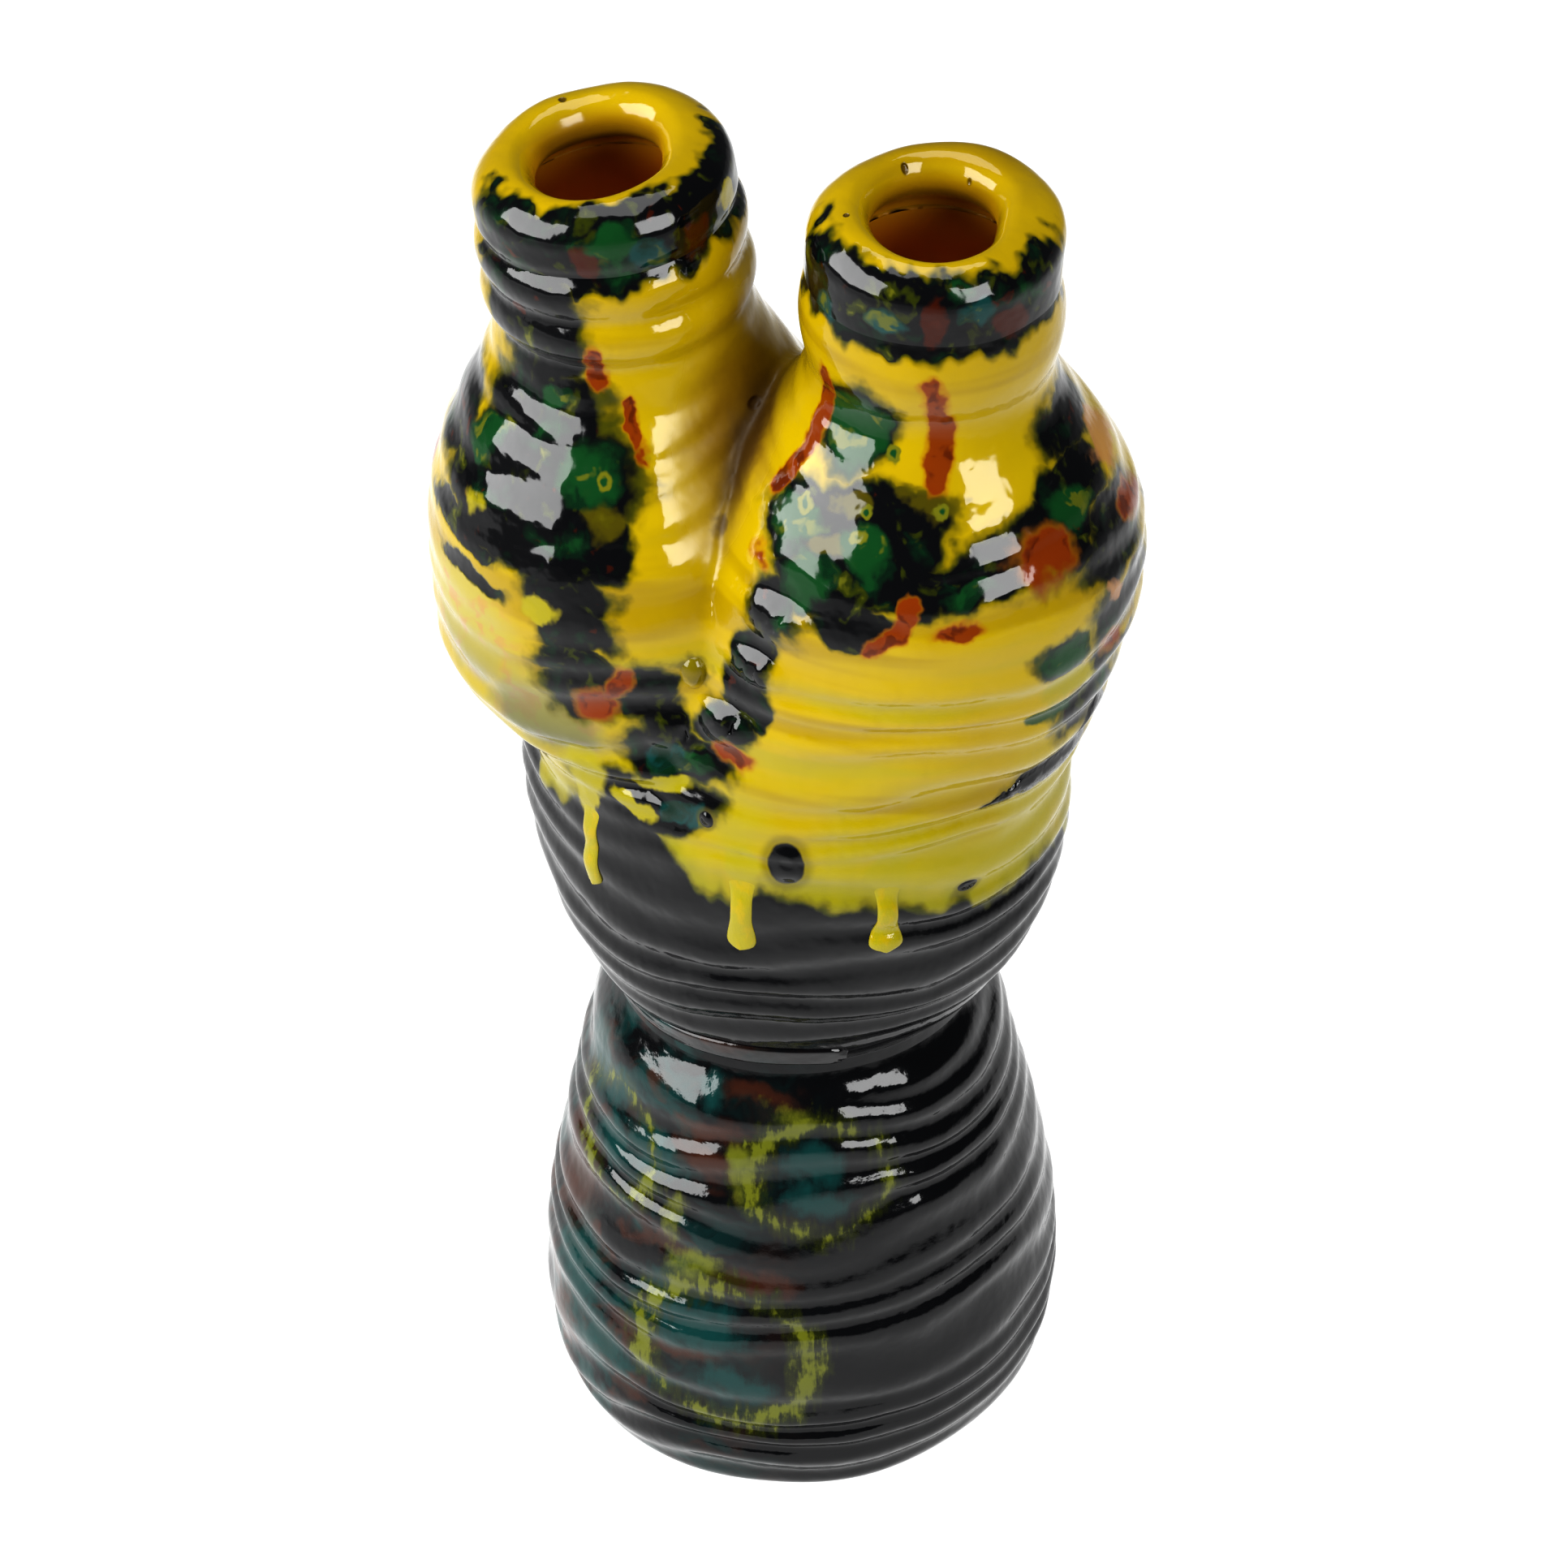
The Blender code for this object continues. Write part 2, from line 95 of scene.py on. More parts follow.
def dents(marks, angle):
    # each mark: where round the pot and how wide, in degrees, and how far out
    total = 0.0
    for middle, reach, amount in marks:
        away = (math.degrees(angle) - middle + 180.0) % 360.0 - 180.0
        total += amount * smooth(1.0 - abs(away) / reach)
    return total


def applyModifier(piece, kind, **settings):
    makeActive(piece)
    modifier = piece.modifiers.new(kind.lower(), kind)
    for key, value in settings.items():
        setattr(modifier, key, value)
    bpy.ops.object.modifier_apply(modifier=modifier.name)


def moveEach(piece, change):
    for vert in piece.data.vertices:
        vert.co = change(vert.co)
    piece.data.update()


def throwOnWheel(name, outline, steps, change):
    # one point is pulled along the outline and spun round the wheel's axis, then each point is moved
    deselectAll()
    bpy.ops.mesh.primitive_plane_add(size=0.001, location=(0, 0, 0))
    piece = bpy.context.object
    piece.name = name
    bpy.ops.object.mode_set(mode="EDIT")
    bpy.ops.mesh.merge(type="CENTER")
    bpy.ops.transform.translate(value=(outline[0][0], 0, outline[0][1]))
    for (oldRadius, oldHeight), (radius, height) in zip(outline, outline[1:]):
        pull = (radius - oldRadius, 0, height - oldHeight)
        bpy.ops.mesh.extrude_vertices_move(TRANSFORM_OT_translate={"value": pull})
    bpy.ops.mesh.select_all(action="SELECT")
    bpy.ops.mesh.spin(steps=steps, angle=2 * math.pi, center=(0, 0, 0), axis=(0, 0, 1))
    bpy.ops.mesh.select_all(action="SELECT")
    bpy.ops.mesh.remove_doubles(threshold=0.000002)
    bpy.ops.mesh.normals_make_consistent(inside=False)
    bpy.ops.object.mode_set(mode="OBJECT")
    moveEach(piece, change)
    return piece


def joined(pieces, name):
    makeActive(pieces[0])
    for piece in pieces:
        piece.select_set(True)
    bpy.ops.object.join()
    pieces[0].name = name
    return pieces[0]


def sliceOff(piece, place, normal):
    # everything on the normal's side goes, and the cut is closed
    makeActive(piece)
    bpy.ops.object.mode_set(mode="EDIT")
    bpy.ops.mesh.select_all(action="SELECT")
    bpy.ops.mesh.bisect(plane_co=place, plane_no=normal, use_fill=True, clear_outer=True,
                        threshold=0.0000001)
    bpy.ops.object.mode_set(mode="OBJECT")


def wobble(co):
    # no hand-thrown pot is round: the same drift for every piece, so that joints stay shut
    slow = noise.noise_vector(co / clay["slowSize"]) * clay["slowWobble"]
    fast = noise.noise_vector(co / clay["fastSize"]) * clay["fastWobble"]
    drift = slow + fast
    return co + drift * smooth(co.z / clay["calmBase"])


def ringRelief(height, angle, depth):
    # fingers leave a slow spiral, rounder on its ridges than in its grooves
    place = polar(rings["roundSize"], angle, height / rings["upSize"])
    turns = height / rings["pitch"] - angle / (2 * math.pi) + rings["waver"] * noise.noise(place)
    wave = 0.5 - 0.5 * math.cos(2 * math.pi * turns)
    strength = 1.0 + rings["uneven"] * noise.noise(place * 0.9 + Vector((7.0, 3.0, 0.0)))
    return -depth * strength * wave ** rings["sharpness"]


# foot: ridged bell, closed by a floor

foot = dict(baseRadius=0.0484, bellyRadius=0.0531, bellyHeight=0.021, bellyCurve=0.8, taper=1.8,
            waistRadius=0.037, tuck=0.0025, tuckStart=0.0965, tuckEnd=0.1065, tuckEase=0.0045, top=0.1072,
            ringDepth=0.0010, ringStart=0.006, ringGap=0.002, ringClimb=0.007, ringFade=0.008,
            firstRow=0.0004, rowHeight=0.0008, floorRows=6, innerRows=20, steps=200, shift=0.0003,
            slim=0.0008, slimHeight=0.072, slimReach=0.04, trimHeight=0.020,
            trims=[(-122, 50, 0.0012), (-30, 45, -0.0016), (-75, 25, -0.0006),
                   (60, 60, -0.0010), (150, 50, -0.0008)])


def footRadius(height):
    if height < foot["bellyHeight"]:
        share = 1.0 - height / foot["bellyHeight"]
        swell = (1.0 - share ** 2) ** foot["bellyCurve"]
        return foot["baseRadius"] + (foot["bellyRadius"] - foot["baseRadius"]) * swell
    share = (height - foot["bellyHeight"]) / (waistHeight - foot["bellyHeight"])
    tucked = foot["tuck"] * smooth((height - foot["tuckStart"]) / (foot["tuckEnd"] - foot["tuckStart"]))
    narrowed = (foot["bellyRadius"] - foot["waistRadius"]) * share ** foot["taper"]
    return foot["bellyRadius"] - narrowed - tucked


def shapeFoot(co):
    radius, angle = polarOf(co)
    outside = radius > footRadius(co.z) - 0.3 * clay["wall"]
    if outside:
        climb = foot["ringClimb"] * smooth(1.4 * math.cos(angle))  # the rings end higher at the right
        ringEnd = foot["tuckStart"] + foot["ringGap"] + climb
        fade = smooth(co.z / foot["ringStart"]) * smooth((ringEnd - co.z) / foot["ringFade"])
        trimmed = dents(foot["trims"], angle) * smooth(1.0 - co.z / foot["trimHeight"])
        slimmed = foot["slim"] * bump(co.z, foot["slimHeight"], foot["slimReach"])
        moved = radius + ringRelief(co.z, angle, foot["ringDepth"]) * fade + trimmed - slimmed
        co = Vector((co.x * moved / radius, co.y * moved / radius, co.z))
    co = co + Vector((foot["shift"] * smooth(1.0 - co.z / waistHeight), 0, 0))
    return wobble(co)


def makeFoot():
    top = foot["top"]
    rowCount = round(top / foot["rowHeight"])
    inner = evenly(top, clay["floor"], foot["innerRows"])
    outline = [(radius, 0.0) for radius in evenly(0.0, foot["baseRadius"], foot["floorRows"])]
    outline += [(footRadius(height), height) for height in evenly(foot["firstRow"], top, rowCount)]
    outline += [(footRadius(height) - clay["wall"], height) for height in inner]
    outline.append((0.0, clay["floor"]))
    return throwOnWheel("thrown_foot", outline, foot["steps"], shapeFoot)


# coil round the waist, pressed flat, with its loose end in front

coil = dict(looseEnd=-57.0, sweep=85.0, fadeOut=50.0, endReach=4.5, edge=0.0011, proud=0.0005,
            sunk=0.0006, sinkReach=0.0012, low=-0.0012, high=0.0042, slant=0.0012, slantTurn=150.0,
            skin=0.0004, depth=0.0022, gap=0.0001, spare=0.002, steps=300, rows=52)


def shapeCoil(co):
    radius, angle = polarOf(co)
    squeeze = bowlSqueeze(co.z)
    if radius > bowlRadius(co.z) - coil["skin"]:
        # the strip is a flat ribbon with a rounded end
        stripTop = coilHigh + coil["high"]
        behind = (coil["looseEnd"] - math.degrees(angle)) % 360.0
        level = co.z - coilHigh
        ending = math.sqrt(max(1.0 - max(1.0 - behind / coil["endReach"], 0.0) ** 2, 0.0))
        middle = 0.5 * (coil["low"] + coil["high"]) - coil["slant"] * behind / coil["slantTurn"]
        half = 0.5 * (coil["high"] - coil["low"]) * ending
        across = smooth((half - abs(level - middle)) / coil["edge"] + 0.5)
        across *= smooth((coil["sweep"] - behind) / coil["fadeOut"])
        hidden = coil["sunk"] * smooth(level / coil["sinkReach"])
        ribbon = 0.5 * (bowlRadius(stripTop) + bowlRadius(co.z)) + coil["proud"]
        moved = radius - hidden + (ribbon - radius + hidden) * across
        squeeze += 0.5 * (bowlSqueeze(stripTop) - squeeze) * across
        co = Vector((co.x * moved / radius, co.y * moved / radius, co.z))
    return wobble(Vector((co.x, co.y * squeeze, co.z)))


def makeCoil():
    inside = foot["waistRadius"] - foot["tuck"] - coil["depth"]
    low, top = foot["top"] + coil["gap"], coilHigh + coil["high"] + coil["spare"]
    outline = [(inside, top), (inside, low)]
    outline += [(bowlRadius(height), height) for height in evenly(low, top, coil["rows"])]
    outline.append(outline[0])
    return throwOnWheel("pressed_waist_coil", outline, coil["steps"], shapeCoil)


# bowl and bottles: thrown apart, then luted and smoothed into one skin

bowl = dict(halfLength=0.0552, halfWidth=0.0435, roundness=3.2, ovalStart=coilLow,
            ringDepth=0.0012, ringFade=0.005, below=0.003, hollowBelow=0.010, hollowAbove=0.004, steps=200)
body = dict(voxel=0.00085, hollowVoxel=0.0016, rowHeight=0.0009, hollowRow=0.003, steps=180,
            ringDepth=0.0011, ringFade=0.006, calmLead=0.006, calmReach=0.016,
            below=0.005, tuckIn=0.004, above=0.004, hollowAbove=0.007,
            seamX=-0.0035, seamHalf=0.0042, webHeight=0.066, neckBulge=0.0016, neckRound=0.45,
            neckCrease=0.0030, rimCrease=0.0026, pinchLevel=0.064, pinchReach=0.040, pinchEase=0.012,
            grooveStart=0.012, grooveEase=0.02, seat=0.55, seatReach=0.006, seatStart=0.012, seatEase=0.02,
            filletReach=0.0055, filletRounds=24, calmRounds=3, hollowRounds=6,
            lumps=[((0.014, -0.033, 0.240), 0.009, 0.006, 0.0012),
                   ((0.011, -0.0364, 0.227), 0.010, 0.0065, 0.0019),
                   ((0.007, -0.0375, 0.214), 0.008, 0.006, 0.0019),
                   ((0.001, -0.0385, 0.199), 0.007, 0.006, 0.0019),
                   ((-0.0095, -0.0375, 0.193), 0.006, 0.005, 0.0017)])
bottles = {
    "left": dict(
        offset=-0.0288, belly=0.0426, bellyRise=0.031, swell=4.2, shoulderRise=0.0615, fullness=1.52,
        neck=0.0242, neckRise=0.0200, neckRolls=2, rimHeight=0.0130, mouth=0.0125, tilt=-7.5,
        rings=0.36, crease=0.0005, pinch=[(-28, 45, -0.0042)], rimDents=[(156, 75, -0.0018)],
        mouthDents=[(-80, 80, 0.0029), (20, 40, -0.0010)], collar=20.5, collarTurn=-52, collarReach=0.0),
    "right": dict(
        offset=0.0265, belly=0.0413, bellyRise=0.045, swell=1.3, shoulderRise=0.0505, fullness=1.44,
        neck=0.0229, neckRise=0.0180, neckRolls=1, rimHeight=0.0140, mouth=0.0119, tilt=1.8,
        rings=0.42, crease=0.0, pinch=[], rimDents=[(150, 80, -0.0020), (50, 60, 0.0012)],
        mouthDents=[(-75, 80, 0.0029), (10, 40, -0.0006)], collar=20.3, collarTurn=-72, collarReach=4.0),
}
for shape in bottles.values():
    shape["neckAt"] = shape["bellyRise"] + shape["shoulderRise"]
    shape["rimAt"] = shape["neckAt"] + shape["neckRise"]
    shape["top"] = shape["rimAt"] + shape["rimHeight"]
    shape["turn"] = math.radians(shape["tilt"]) / shape["top"]


def bowlRadius(height):
    share = clamp((height - waistHeight) / (lipHeight - waistHeight))
    widened = (bowl["halfLength"] - foot["waistRadius"]) * (1.0 - (1.0 - share) ** bowl["roundness"])
    return foot["waistRadius"] + widened


def bowlSqueeze(height):
    share = clamp((height - bowl["ovalStart"]) / (lipHeight - bowl["ovalStart"]))
    return 1.0 - (1.0 - bowl["halfWidth"] / bowl["halfLength"]) * (1.0 - (1.0 - share) ** 2)


def bottleRadius(shape, level):
    share = clamp((level - shape["bellyRise"]) / shape["shoulderRise"])
    return shape["belly"] - (shape["belly"] - shape["neck"]) * smooth(share ** shape["fullness"])


def lipReach(shape, angle):
    # from the bottle's axis to the bowl's oval lip
    across = math.sin(angle) / bowl["halfWidth"]
    along = math.cos(angle) / bowl["halfLength"]
    start = shape["offset"] / bowl["halfLength"]
    square = across * across + along * along
    half = start * along
    return (math.sqrt(half * half + square * (1.0 - start * start)) - half) / square


def fittedRadius(shape, level, angle):
    # the lower belly is pressed to the bowl's lip
    plain = bottleRadius(shape, level)
    towardsSeam = 0.5 - 0.5 * math.cos(angle) * math.copysign(1.0, shape["offset"])
    full = shape["bellyRise"] + (body["webHeight"] - shape["bellyRise"]) * towardsSeam
    share = clamp(1.0 - level / full)
    return plain + (lipReach(shape, angle) - plain) * share ** shape["swell"]


def pinched(shape, level, angle):
    # the side towards the groove, pressed in by hand
    share = bump(level, body["pinchLevel"], body["pinchReach"])
    share *= smooth((shape["neckAt"] - level) / body["pinchEase"])
    return dents(shape["pinch"], angle) * share


def leanOver(shape, co):
    # the axis bends steadily, and each level stays square to it
    turn = shape["turn"] * co.z
    height = lipHeight + co.z * math.cos(0.5 * turn)
    middle = Vector((shape["offset"] + co.z * math.sin(0.5 * turn), 0, height))
    return middle + Vector((co.x * math.cos(turn), co.y, -co.x * math.sin(turn)))


def neckPlane(shape, level):
    place = leanOver(shape, Vector((0, 0, level)))
    turn = shape["turn"] * level
    return place, Vector((math.sin(turn), 0, math.cos(turn)))


def neckSwell(shape, level):
    # rolls round the neck, which run into the shoulder and the rim
    share = clamp((level - shape["neckAt"]) / shape["neckRise"])
    rolls = 0.5 - 0.5 * math.cos(2 * math.pi * shape["neckRolls"] * share)
    return body["neckBulge"] * rolls ** body["neckRound"]


def shapeBowl(co, inset):
    radius, angle = polarOf(co)
    if radius > 0.0:
        moved = bowlRadius(co.z) - inset
        if inset == 0.0:
            moved -= foot["tuck"] * smooth(1.0 - (co.z - foot["tuckEnd"]) / foot["tuckEase"])
            fade = smooth((co.z - coilHigh - coil["high"]) / bowl["ringFade"])
            moved += ringRelief(co.z, angle, bowl["ringDepth"]) * fade
        moved *= radius / bowlRadius(co.z)
        co = Vector((moved * math.cos(angle), moved * math.sin(angle) * bowlSqueeze(co.z), co.z))
    return co


def solidOutline(radiusAt, low, high, inset):
    # close rows outside, wide ones for the hollow
    row = body["rowHeight"] if inset == 0.0 else body["hollowRow"]
    levels = evenly(low, high, round((high - low) / row))
    return [(0.0, low)] + [(radiusAt(level), level) for level in levels] + [(0.0, high)]


def makeBowlSolid(name, inset, low, high):
    outline = solidOutline(bowlRadius, low, high, inset)
    return throwOnWheel(name, outline, bowl["steps"], lambda co: shapeBowl(co, inset))


def shapeBottle(shape, co, inset):
    radius, angle = polarOf(co)
    level = co.z
    if radius > 0.0:
        moved = fittedRadius(shape, max(level, 0.0), angle) + pinched(shape, level, angle) - inset
        if level < 0.0:
            moved -= body["tuckIn"]
        if inset == 0.0:
            calmed = smooth((level - shape["bellyRise"] + body["calmLead"]) / body["calmReach"])
            fade = 1.0 - (1.0 - shape["rings"]) * calmed
            fade *= smooth((shape["neckAt"] - level) / body["ringFade"])
            moved += ringRelief(level + lipHeight, angle, body["ringDepth"]) * fade
            moved += neckSwell(shape, level)
            atNeck = bump(level, shape["neckAt"], body["neckCrease"])
            atRim = bump(level, shape["rimAt"], body["rimCrease"])
            moved -= shape["crease"] * max(atNeck, atRim)
        co = polar(moved, angle, level)
    return leanOver(shape, co)


def makeBottleSolid(name, shape, inset):
    above = body["above"] if inset == 0.0 else body["hollowAbove"]
    low, high = -body["below"], shape["rimAt"] + above
    outline = solidOutline(lambda level: bottleRadius(shape, level), low, high, inset)
    return throwOnWheel(name, outline, body["steps"], lambda co: shapeBottle(shape, co, inset))


def nearness(shape, co):
    # how far a point lies outside one bottle's wall
    level = max(co.z - lipHeight, 0.0)
    middle, _ = neckPlane(shape, level)
    angle = math.atan2(co.y, co.x - middle.x)
    away = math.hypot(co.x - middle.x, co.y) - fittedRadius(shape, level, angle)
    return away - pinched(shape, level, angle)


def filletWeight(co):
    apart = max(abs(nearness(bottles["left"], co)), abs(nearness(bottles["right"], co)))
    groove = smooth(1.0 - apart / body["filletReach"])
    groove *= smooth((co.z - lipHeight - body["grooveStart"]) / body["grooveEase"])
    seat = body["seat"] * bump(co.z, lipHeight, body["seatReach"])
    seat *= smooth((abs(co.x) - body["seatStart"]) / body["seatEase"] + 0.35)
    return max(groove, seat)


def pressLumps(piece):
    # thick ends of the rings beside the groove: middle, reach across and up, how far out
    for vert in piece.data.vertices:
        out = 0.0
        for middle, across, upward, amount in body["lumps"]:
            away = vert.co - Vector(middle)
            out += amount * smooth(1.0 - math.hypot(math.hypot(away.x, away.y) / across, away.z / upward))
        if out > 0.0:
            vert.co = vert.co + vert.normal * out
    piece.data.update()


def makeBody():
    solids = [makeBowlSolid("bowl_solid", 0.0, coilLow - bowl["below"], lipHeight)]
    low, high = coilLow - bowl["hollowBelow"], lipHeight + bowl["hollowAbove"]
    hollows = [makeBowlSolid("bowl_hollow", clay["wall"], low, high)]
    for side, shape in bottles.items():
        solids.append(makeBottleSolid(side + "_solid", shape, 0.0))
        hollows.append(makeBottleSolid(side + "_hollow", shape, clay["wall"]))
    skin = joined(solids, "luted_skin")
    applyModifier(skin, "REMESH", mode="VOXEL", voxel_size=body["voxel"], adaptivity=0.0)
    group = skin.vertex_groups.new(name="fillet")
    for vert in skin.data.vertices:
        group.add([vert.index], filletWeight(vert.co), "REPLACE")
    applyModifier(skin, "SMOOTH", factor=0.5, iterations=body["filletRounds"], vertex_group="fillet")
    pressLumps(skin)
    applyModifier(skin, "SMOOTH", factor=0.5, iterations=body["calmRounds"])
    moveEach(skin, wobble)
    hollow = joined(hollows, "luted_hollow")
    applyModifier(hollow, "REMESH", mode="VOXEL", voxel_size=body["hollowVoxel"], adaptivity=0.0)
    applyModifier(hollow, "SMOOTH", factor=0.5, iterations=body["hollowRounds"])
    applyModifier(skin, "BOOLEAN", operation="DIFFERENCE", solver="MANIFOLD", object=hollow)
    bpy.data.objects.remove(hollow)
    skin.data.shade_smooth()
    return skin


# rims

rim = dict(proud=0.0006, crest=0.36, fall=0.0072, dip=0.0062, lift=0.0006, waveSize=1.4, waveApart=90,
           steps=200, rollRows=52, wallRows=12)


def shapeRim(shape, co):
    radius, angle = polarOf(co)
    inward = smooth((shape["neck"] - radius) / (shape["neck"] - shape["mouth"]))
    share = smooth((co.z - shape["rimAt"]) / shape["rimHeight"])
    moved = radius + dents(shape["rimDents"], angle) * share * (1.0 - inward)
    moved += dents(shape["mouthDents"], angle) * inward
    wave = noise.noise(polar(rim["waveSize"], angle, shape["offset"] * rim["waveApart"]))
    level = co.z + rim["lift"] * wave * share
    return wobble(leanOver(shape, polar(moved, angle, level)))


def rollPoint(shape, turn):
    # a soft roll, highest nearer to the mouth than to the outside
    outside = shape["neck"] + rim["proud"]
    crest = shape["mouth"] + rim["crest"] * (outside - shape["mouth"])
    across, up = math.cos(turn), math.sin(turn)
    if across > 0.0:
        return crest + (outside - crest) * across, shape["top"] - rim["fall"] * (1.0 - up)
    return crest + (crest - shape["mouth"]) * across, shape["top"] - rim["dip"] * (1.0 - up)


def makeRim(side, shape):
    low, outside = shape["rimAt"], shape["neck"] + rim["proud"]
    bore = shape["neck"] - clay["wall"]
    roll = [rollPoint(shape, turn) for turn in evenly(0.0, math.pi, rim["rollRows"])]
    outline = [(bore, low)]
    for level in evenly(low, roll[0][1], rim["wallRows"])[:-1]:
        outline.append((outside - shape["crease"] * bump(level, low, body["rimCrease"]), level))
    outline += roll
    innerRadius, innerLevel = roll[-1]
    for share in evenly(0.0, 1.0, rim["wallRows"])[1:]:
        level = innerLevel + (low - innerLevel) * share
        outline.append((innerRadius + (bore - innerRadius) * smooth(share), level))
    return throwOnWheel(side + "_rolled_rim", outline, rim["steps"], lambda co: shapeRim(shape, co))


# pellet of clay at the foot of the groove

pellet = dict(place=Vector((-0.0066, -0.0343, 0.2068)), radius=0.0031, flat=0.85, tall=1.35,
              columns=40, rows=24)


def shapePellet(co):
    return wobble(Vector((co.x, co.y * pellet["flat"], co.z * pellet["tall"])) + pellet["place"])


def makePellet():
    deselectAll()
    bpy.ops.mesh.primitive_uv_sphere_add(segments=pellet["columns"], ring_count=pellet["rows"],
                                         radius=pellet["radius"], location=(0, 0, 0))
    piece = bpy.context.object
    piece.name = "clay_pellet"
    moveEach(piece, shapePellet)
    return piece


# runs of thick glaze

runs = {
    "left": dict(angle=-120.5, length=0.0245, top=lipHeight + 0.002, half=0.0021, bulb=0.0022),
    "centre": dict(angle=-84.5, length=0.0215, top=lipHeight - 0.0025, half=0.0024, bulb=0.0030),
    "right": dict(angle=-54.5, length=0.0195, top=lipHeight - 0.003, half=0.0024, bulb=0.0036),
}
run = dict(thick=0.0008, sunk=0.0007, rootDip=0.0004, rootEnd=0.35, flare=1.5, narrowing=0.6, stemAt=0.45,
           bulbAt=0.92, bulbReach=0.30, endAt=0.86, endReach=0.14, outside=0.09, rows=64, steps=40)


def runHalfWidth(shape, share):
    stem = shape["half"] * (run["flare"] - run["narrowing"] * smooth(share / run["stemAt"]))
    bulbed = stem + (shape["bulb"] - 0.9 * shape["half"]) * bump(share, run["bulbAt"], run["bulbReach"])
    ending = math.sqrt(max(1.0 - max((share - run["endAt"]) / run["endReach"], 0.0) ** 4, 0.0))
    return bulbed * ending * smooth(share / 0.05 + 0.3)


def layRun(co, shape, skin):
    # a point of an upright drop is set against the bowl, out along its surface
    height = shape["top"] + co.z
    share = -co.z / shape["length"]
    turned = math.radians(shape["angle"]) + co.x / bowlRadius(height)
    squeezed = Vector((math.cos(turned), math.sin(turned) * bowlSqueeze(height), 0.0))
    start = squeezed * run["outside"] + Vector((0, 0, height))
    place, normal, _, _ = skin.ray_cast(start, -squeezed.normalized())
    half = max(runHalfWidth(shape, share), 0.00001)
    swell = run["thick"] * smooth((share - 0.1) / 0.5) * (1.0 + 0.45 * bump(share, 0.9, 0.2))
    lens = math.sqrt(max(1.0 - (co.x / half) ** 2, 0.0))
    emerging = run["rootDip"] * smooth(1.0 - share / run["rootEnd"])
    out = swell * lens - emerging if co.y < 0.0 else -run["sunk"]
    return place + normal * out


def makeRun(side, shape, skin):
    outline = [(0.0, 0.0)]
    for step in evenly(0.0, 1.0, run["rows"])[1:-1]:
        share = 1.0 - (1.0 - step) ** 1.8  # closer rows towards the drop
        outline.append((runHalfWidth(shape, share), -share * shape["length"]))
    outline.append((0.0, -shape["length"]))
    return throwOnWheel(side + "_run_of_glaze", outline, run["steps"], lambda co: layRun(co, shape, skin))


# put together

thrownFoot = makeFoot()
waistCoil = makeCoil()
print("foot and waist made")
lutedBody = makeBody()
print("body luted:", len(lutedBody.data.vertices), "points")


def partOfBody(name, cuts):
    piece = lutedBody.copy()
    piece.data = lutedBody.data.copy()
    piece.name = name
    bpy.context.scene.collection.objects.link(piece)
    for place, normal in cuts:
        sliceOff(piece, place, normal)
    applyModifier(piece, "DATA_TRANSFER", object=lutedBody, use_loop_data=True,
                  data_types_loops={"CUSTOM_NORMAL"}, loop_mapping="POLYINTERP_NEAREST")
    return piece


up, down, left, right = Vector((0, 0, 1)), Vector((0, 0, -1)), Vector((-1, 0, 0)), Vector((1, 0, 0))
atLip, atCoil = Vector((0, 0, lipHeight)), Vector((0, 0, coilHigh))
seamLeft = Vector((body["seamX"] - body["seamHalf"], 0, 0))
seamRight = Vector((body["seamX"] + body["seamHalf"], 0, 0))
leftNeckCut = neckPlane(bottles["left"], bottles["left"]["neckAt"])
rightNeckCut = neckPlane(bottles["right"], bottles["right"]["neckAt"])

bowlPiece = partOfBody("thrown_bowl", [(atLip, up), (atCoil, down)])
leftBottle = partOfBody("left_thrown_bottle", [(atLip, down), (seamLeft, right), leftNeckCut])
rightBottle = partOfBody("right_thrown_bottle", [(atLip, down), (seamRight, left), rightNeckCut])
seamCoil = partOfBody("smoothed_seam", [(atLip, down), (seamLeft, left), (seamRight, right)])
necks = {}
for side, beyond in (("left", (seamLeft, right)), ("right", (seamRight, left))):
    shape = bottles[side]
    place, normal = neckPlane(shape, shape["neckAt"])
    cuts = [(place, -normal), neckPlane(shape, shape["rimAt"]), beyond]
    necks[side] = partOfBody(side + "_thrown_neck", cuts)
print("body cut into its pieces")

skinTree = BVHTree.FromObject(lutedBody, bpy.context.evaluated_depsgraph_get())
runPieces = {side: makeRun(side, shape, skinTree) for side, shape in runs.items()}
bpy.data.objects.remove(lutedBody)
rims = {side: makeRim(side, shape) for side, shape in bottles.items()}
clayPellet = makePellet()
print("rims, pellet and runs made")

table = [
    (thrownFoot, "foot_section", "black_glaze"),
    (waistCoil, "waist_coil", "black_glaze"),
    (bowlPiece, "bowl_section", "black_glaze"),
    (leftBottle, "left_bottle", "yellow_glaze"),
    (rightBottle, "right_bottle", "yellow_glaze"),
    (seamCoil, "seam_coil", "yellow_glaze"),
    (necks["left"], "left_neck", "yellow_glaze"),
    (necks["right"], "right_neck", "yellow_glaze"),
    (rims["left"], "left_rim", "golden_glaze"),
    (rims["right"], "right_rim", "golden_glaze"),
    (clayPellet, "seam_pellet", "pale_glaze"),
    (runPieces["left"], "left_glaze_run", "pale_glaze"),
    (runPieces["centre"], "centre_glaze_run", "pale_glaze"),
    (runPieces["right"], "right_glaze_run", "pale_glaze"),
]

# glazes: every pattern is worked out on Object coordinates, in millimetres

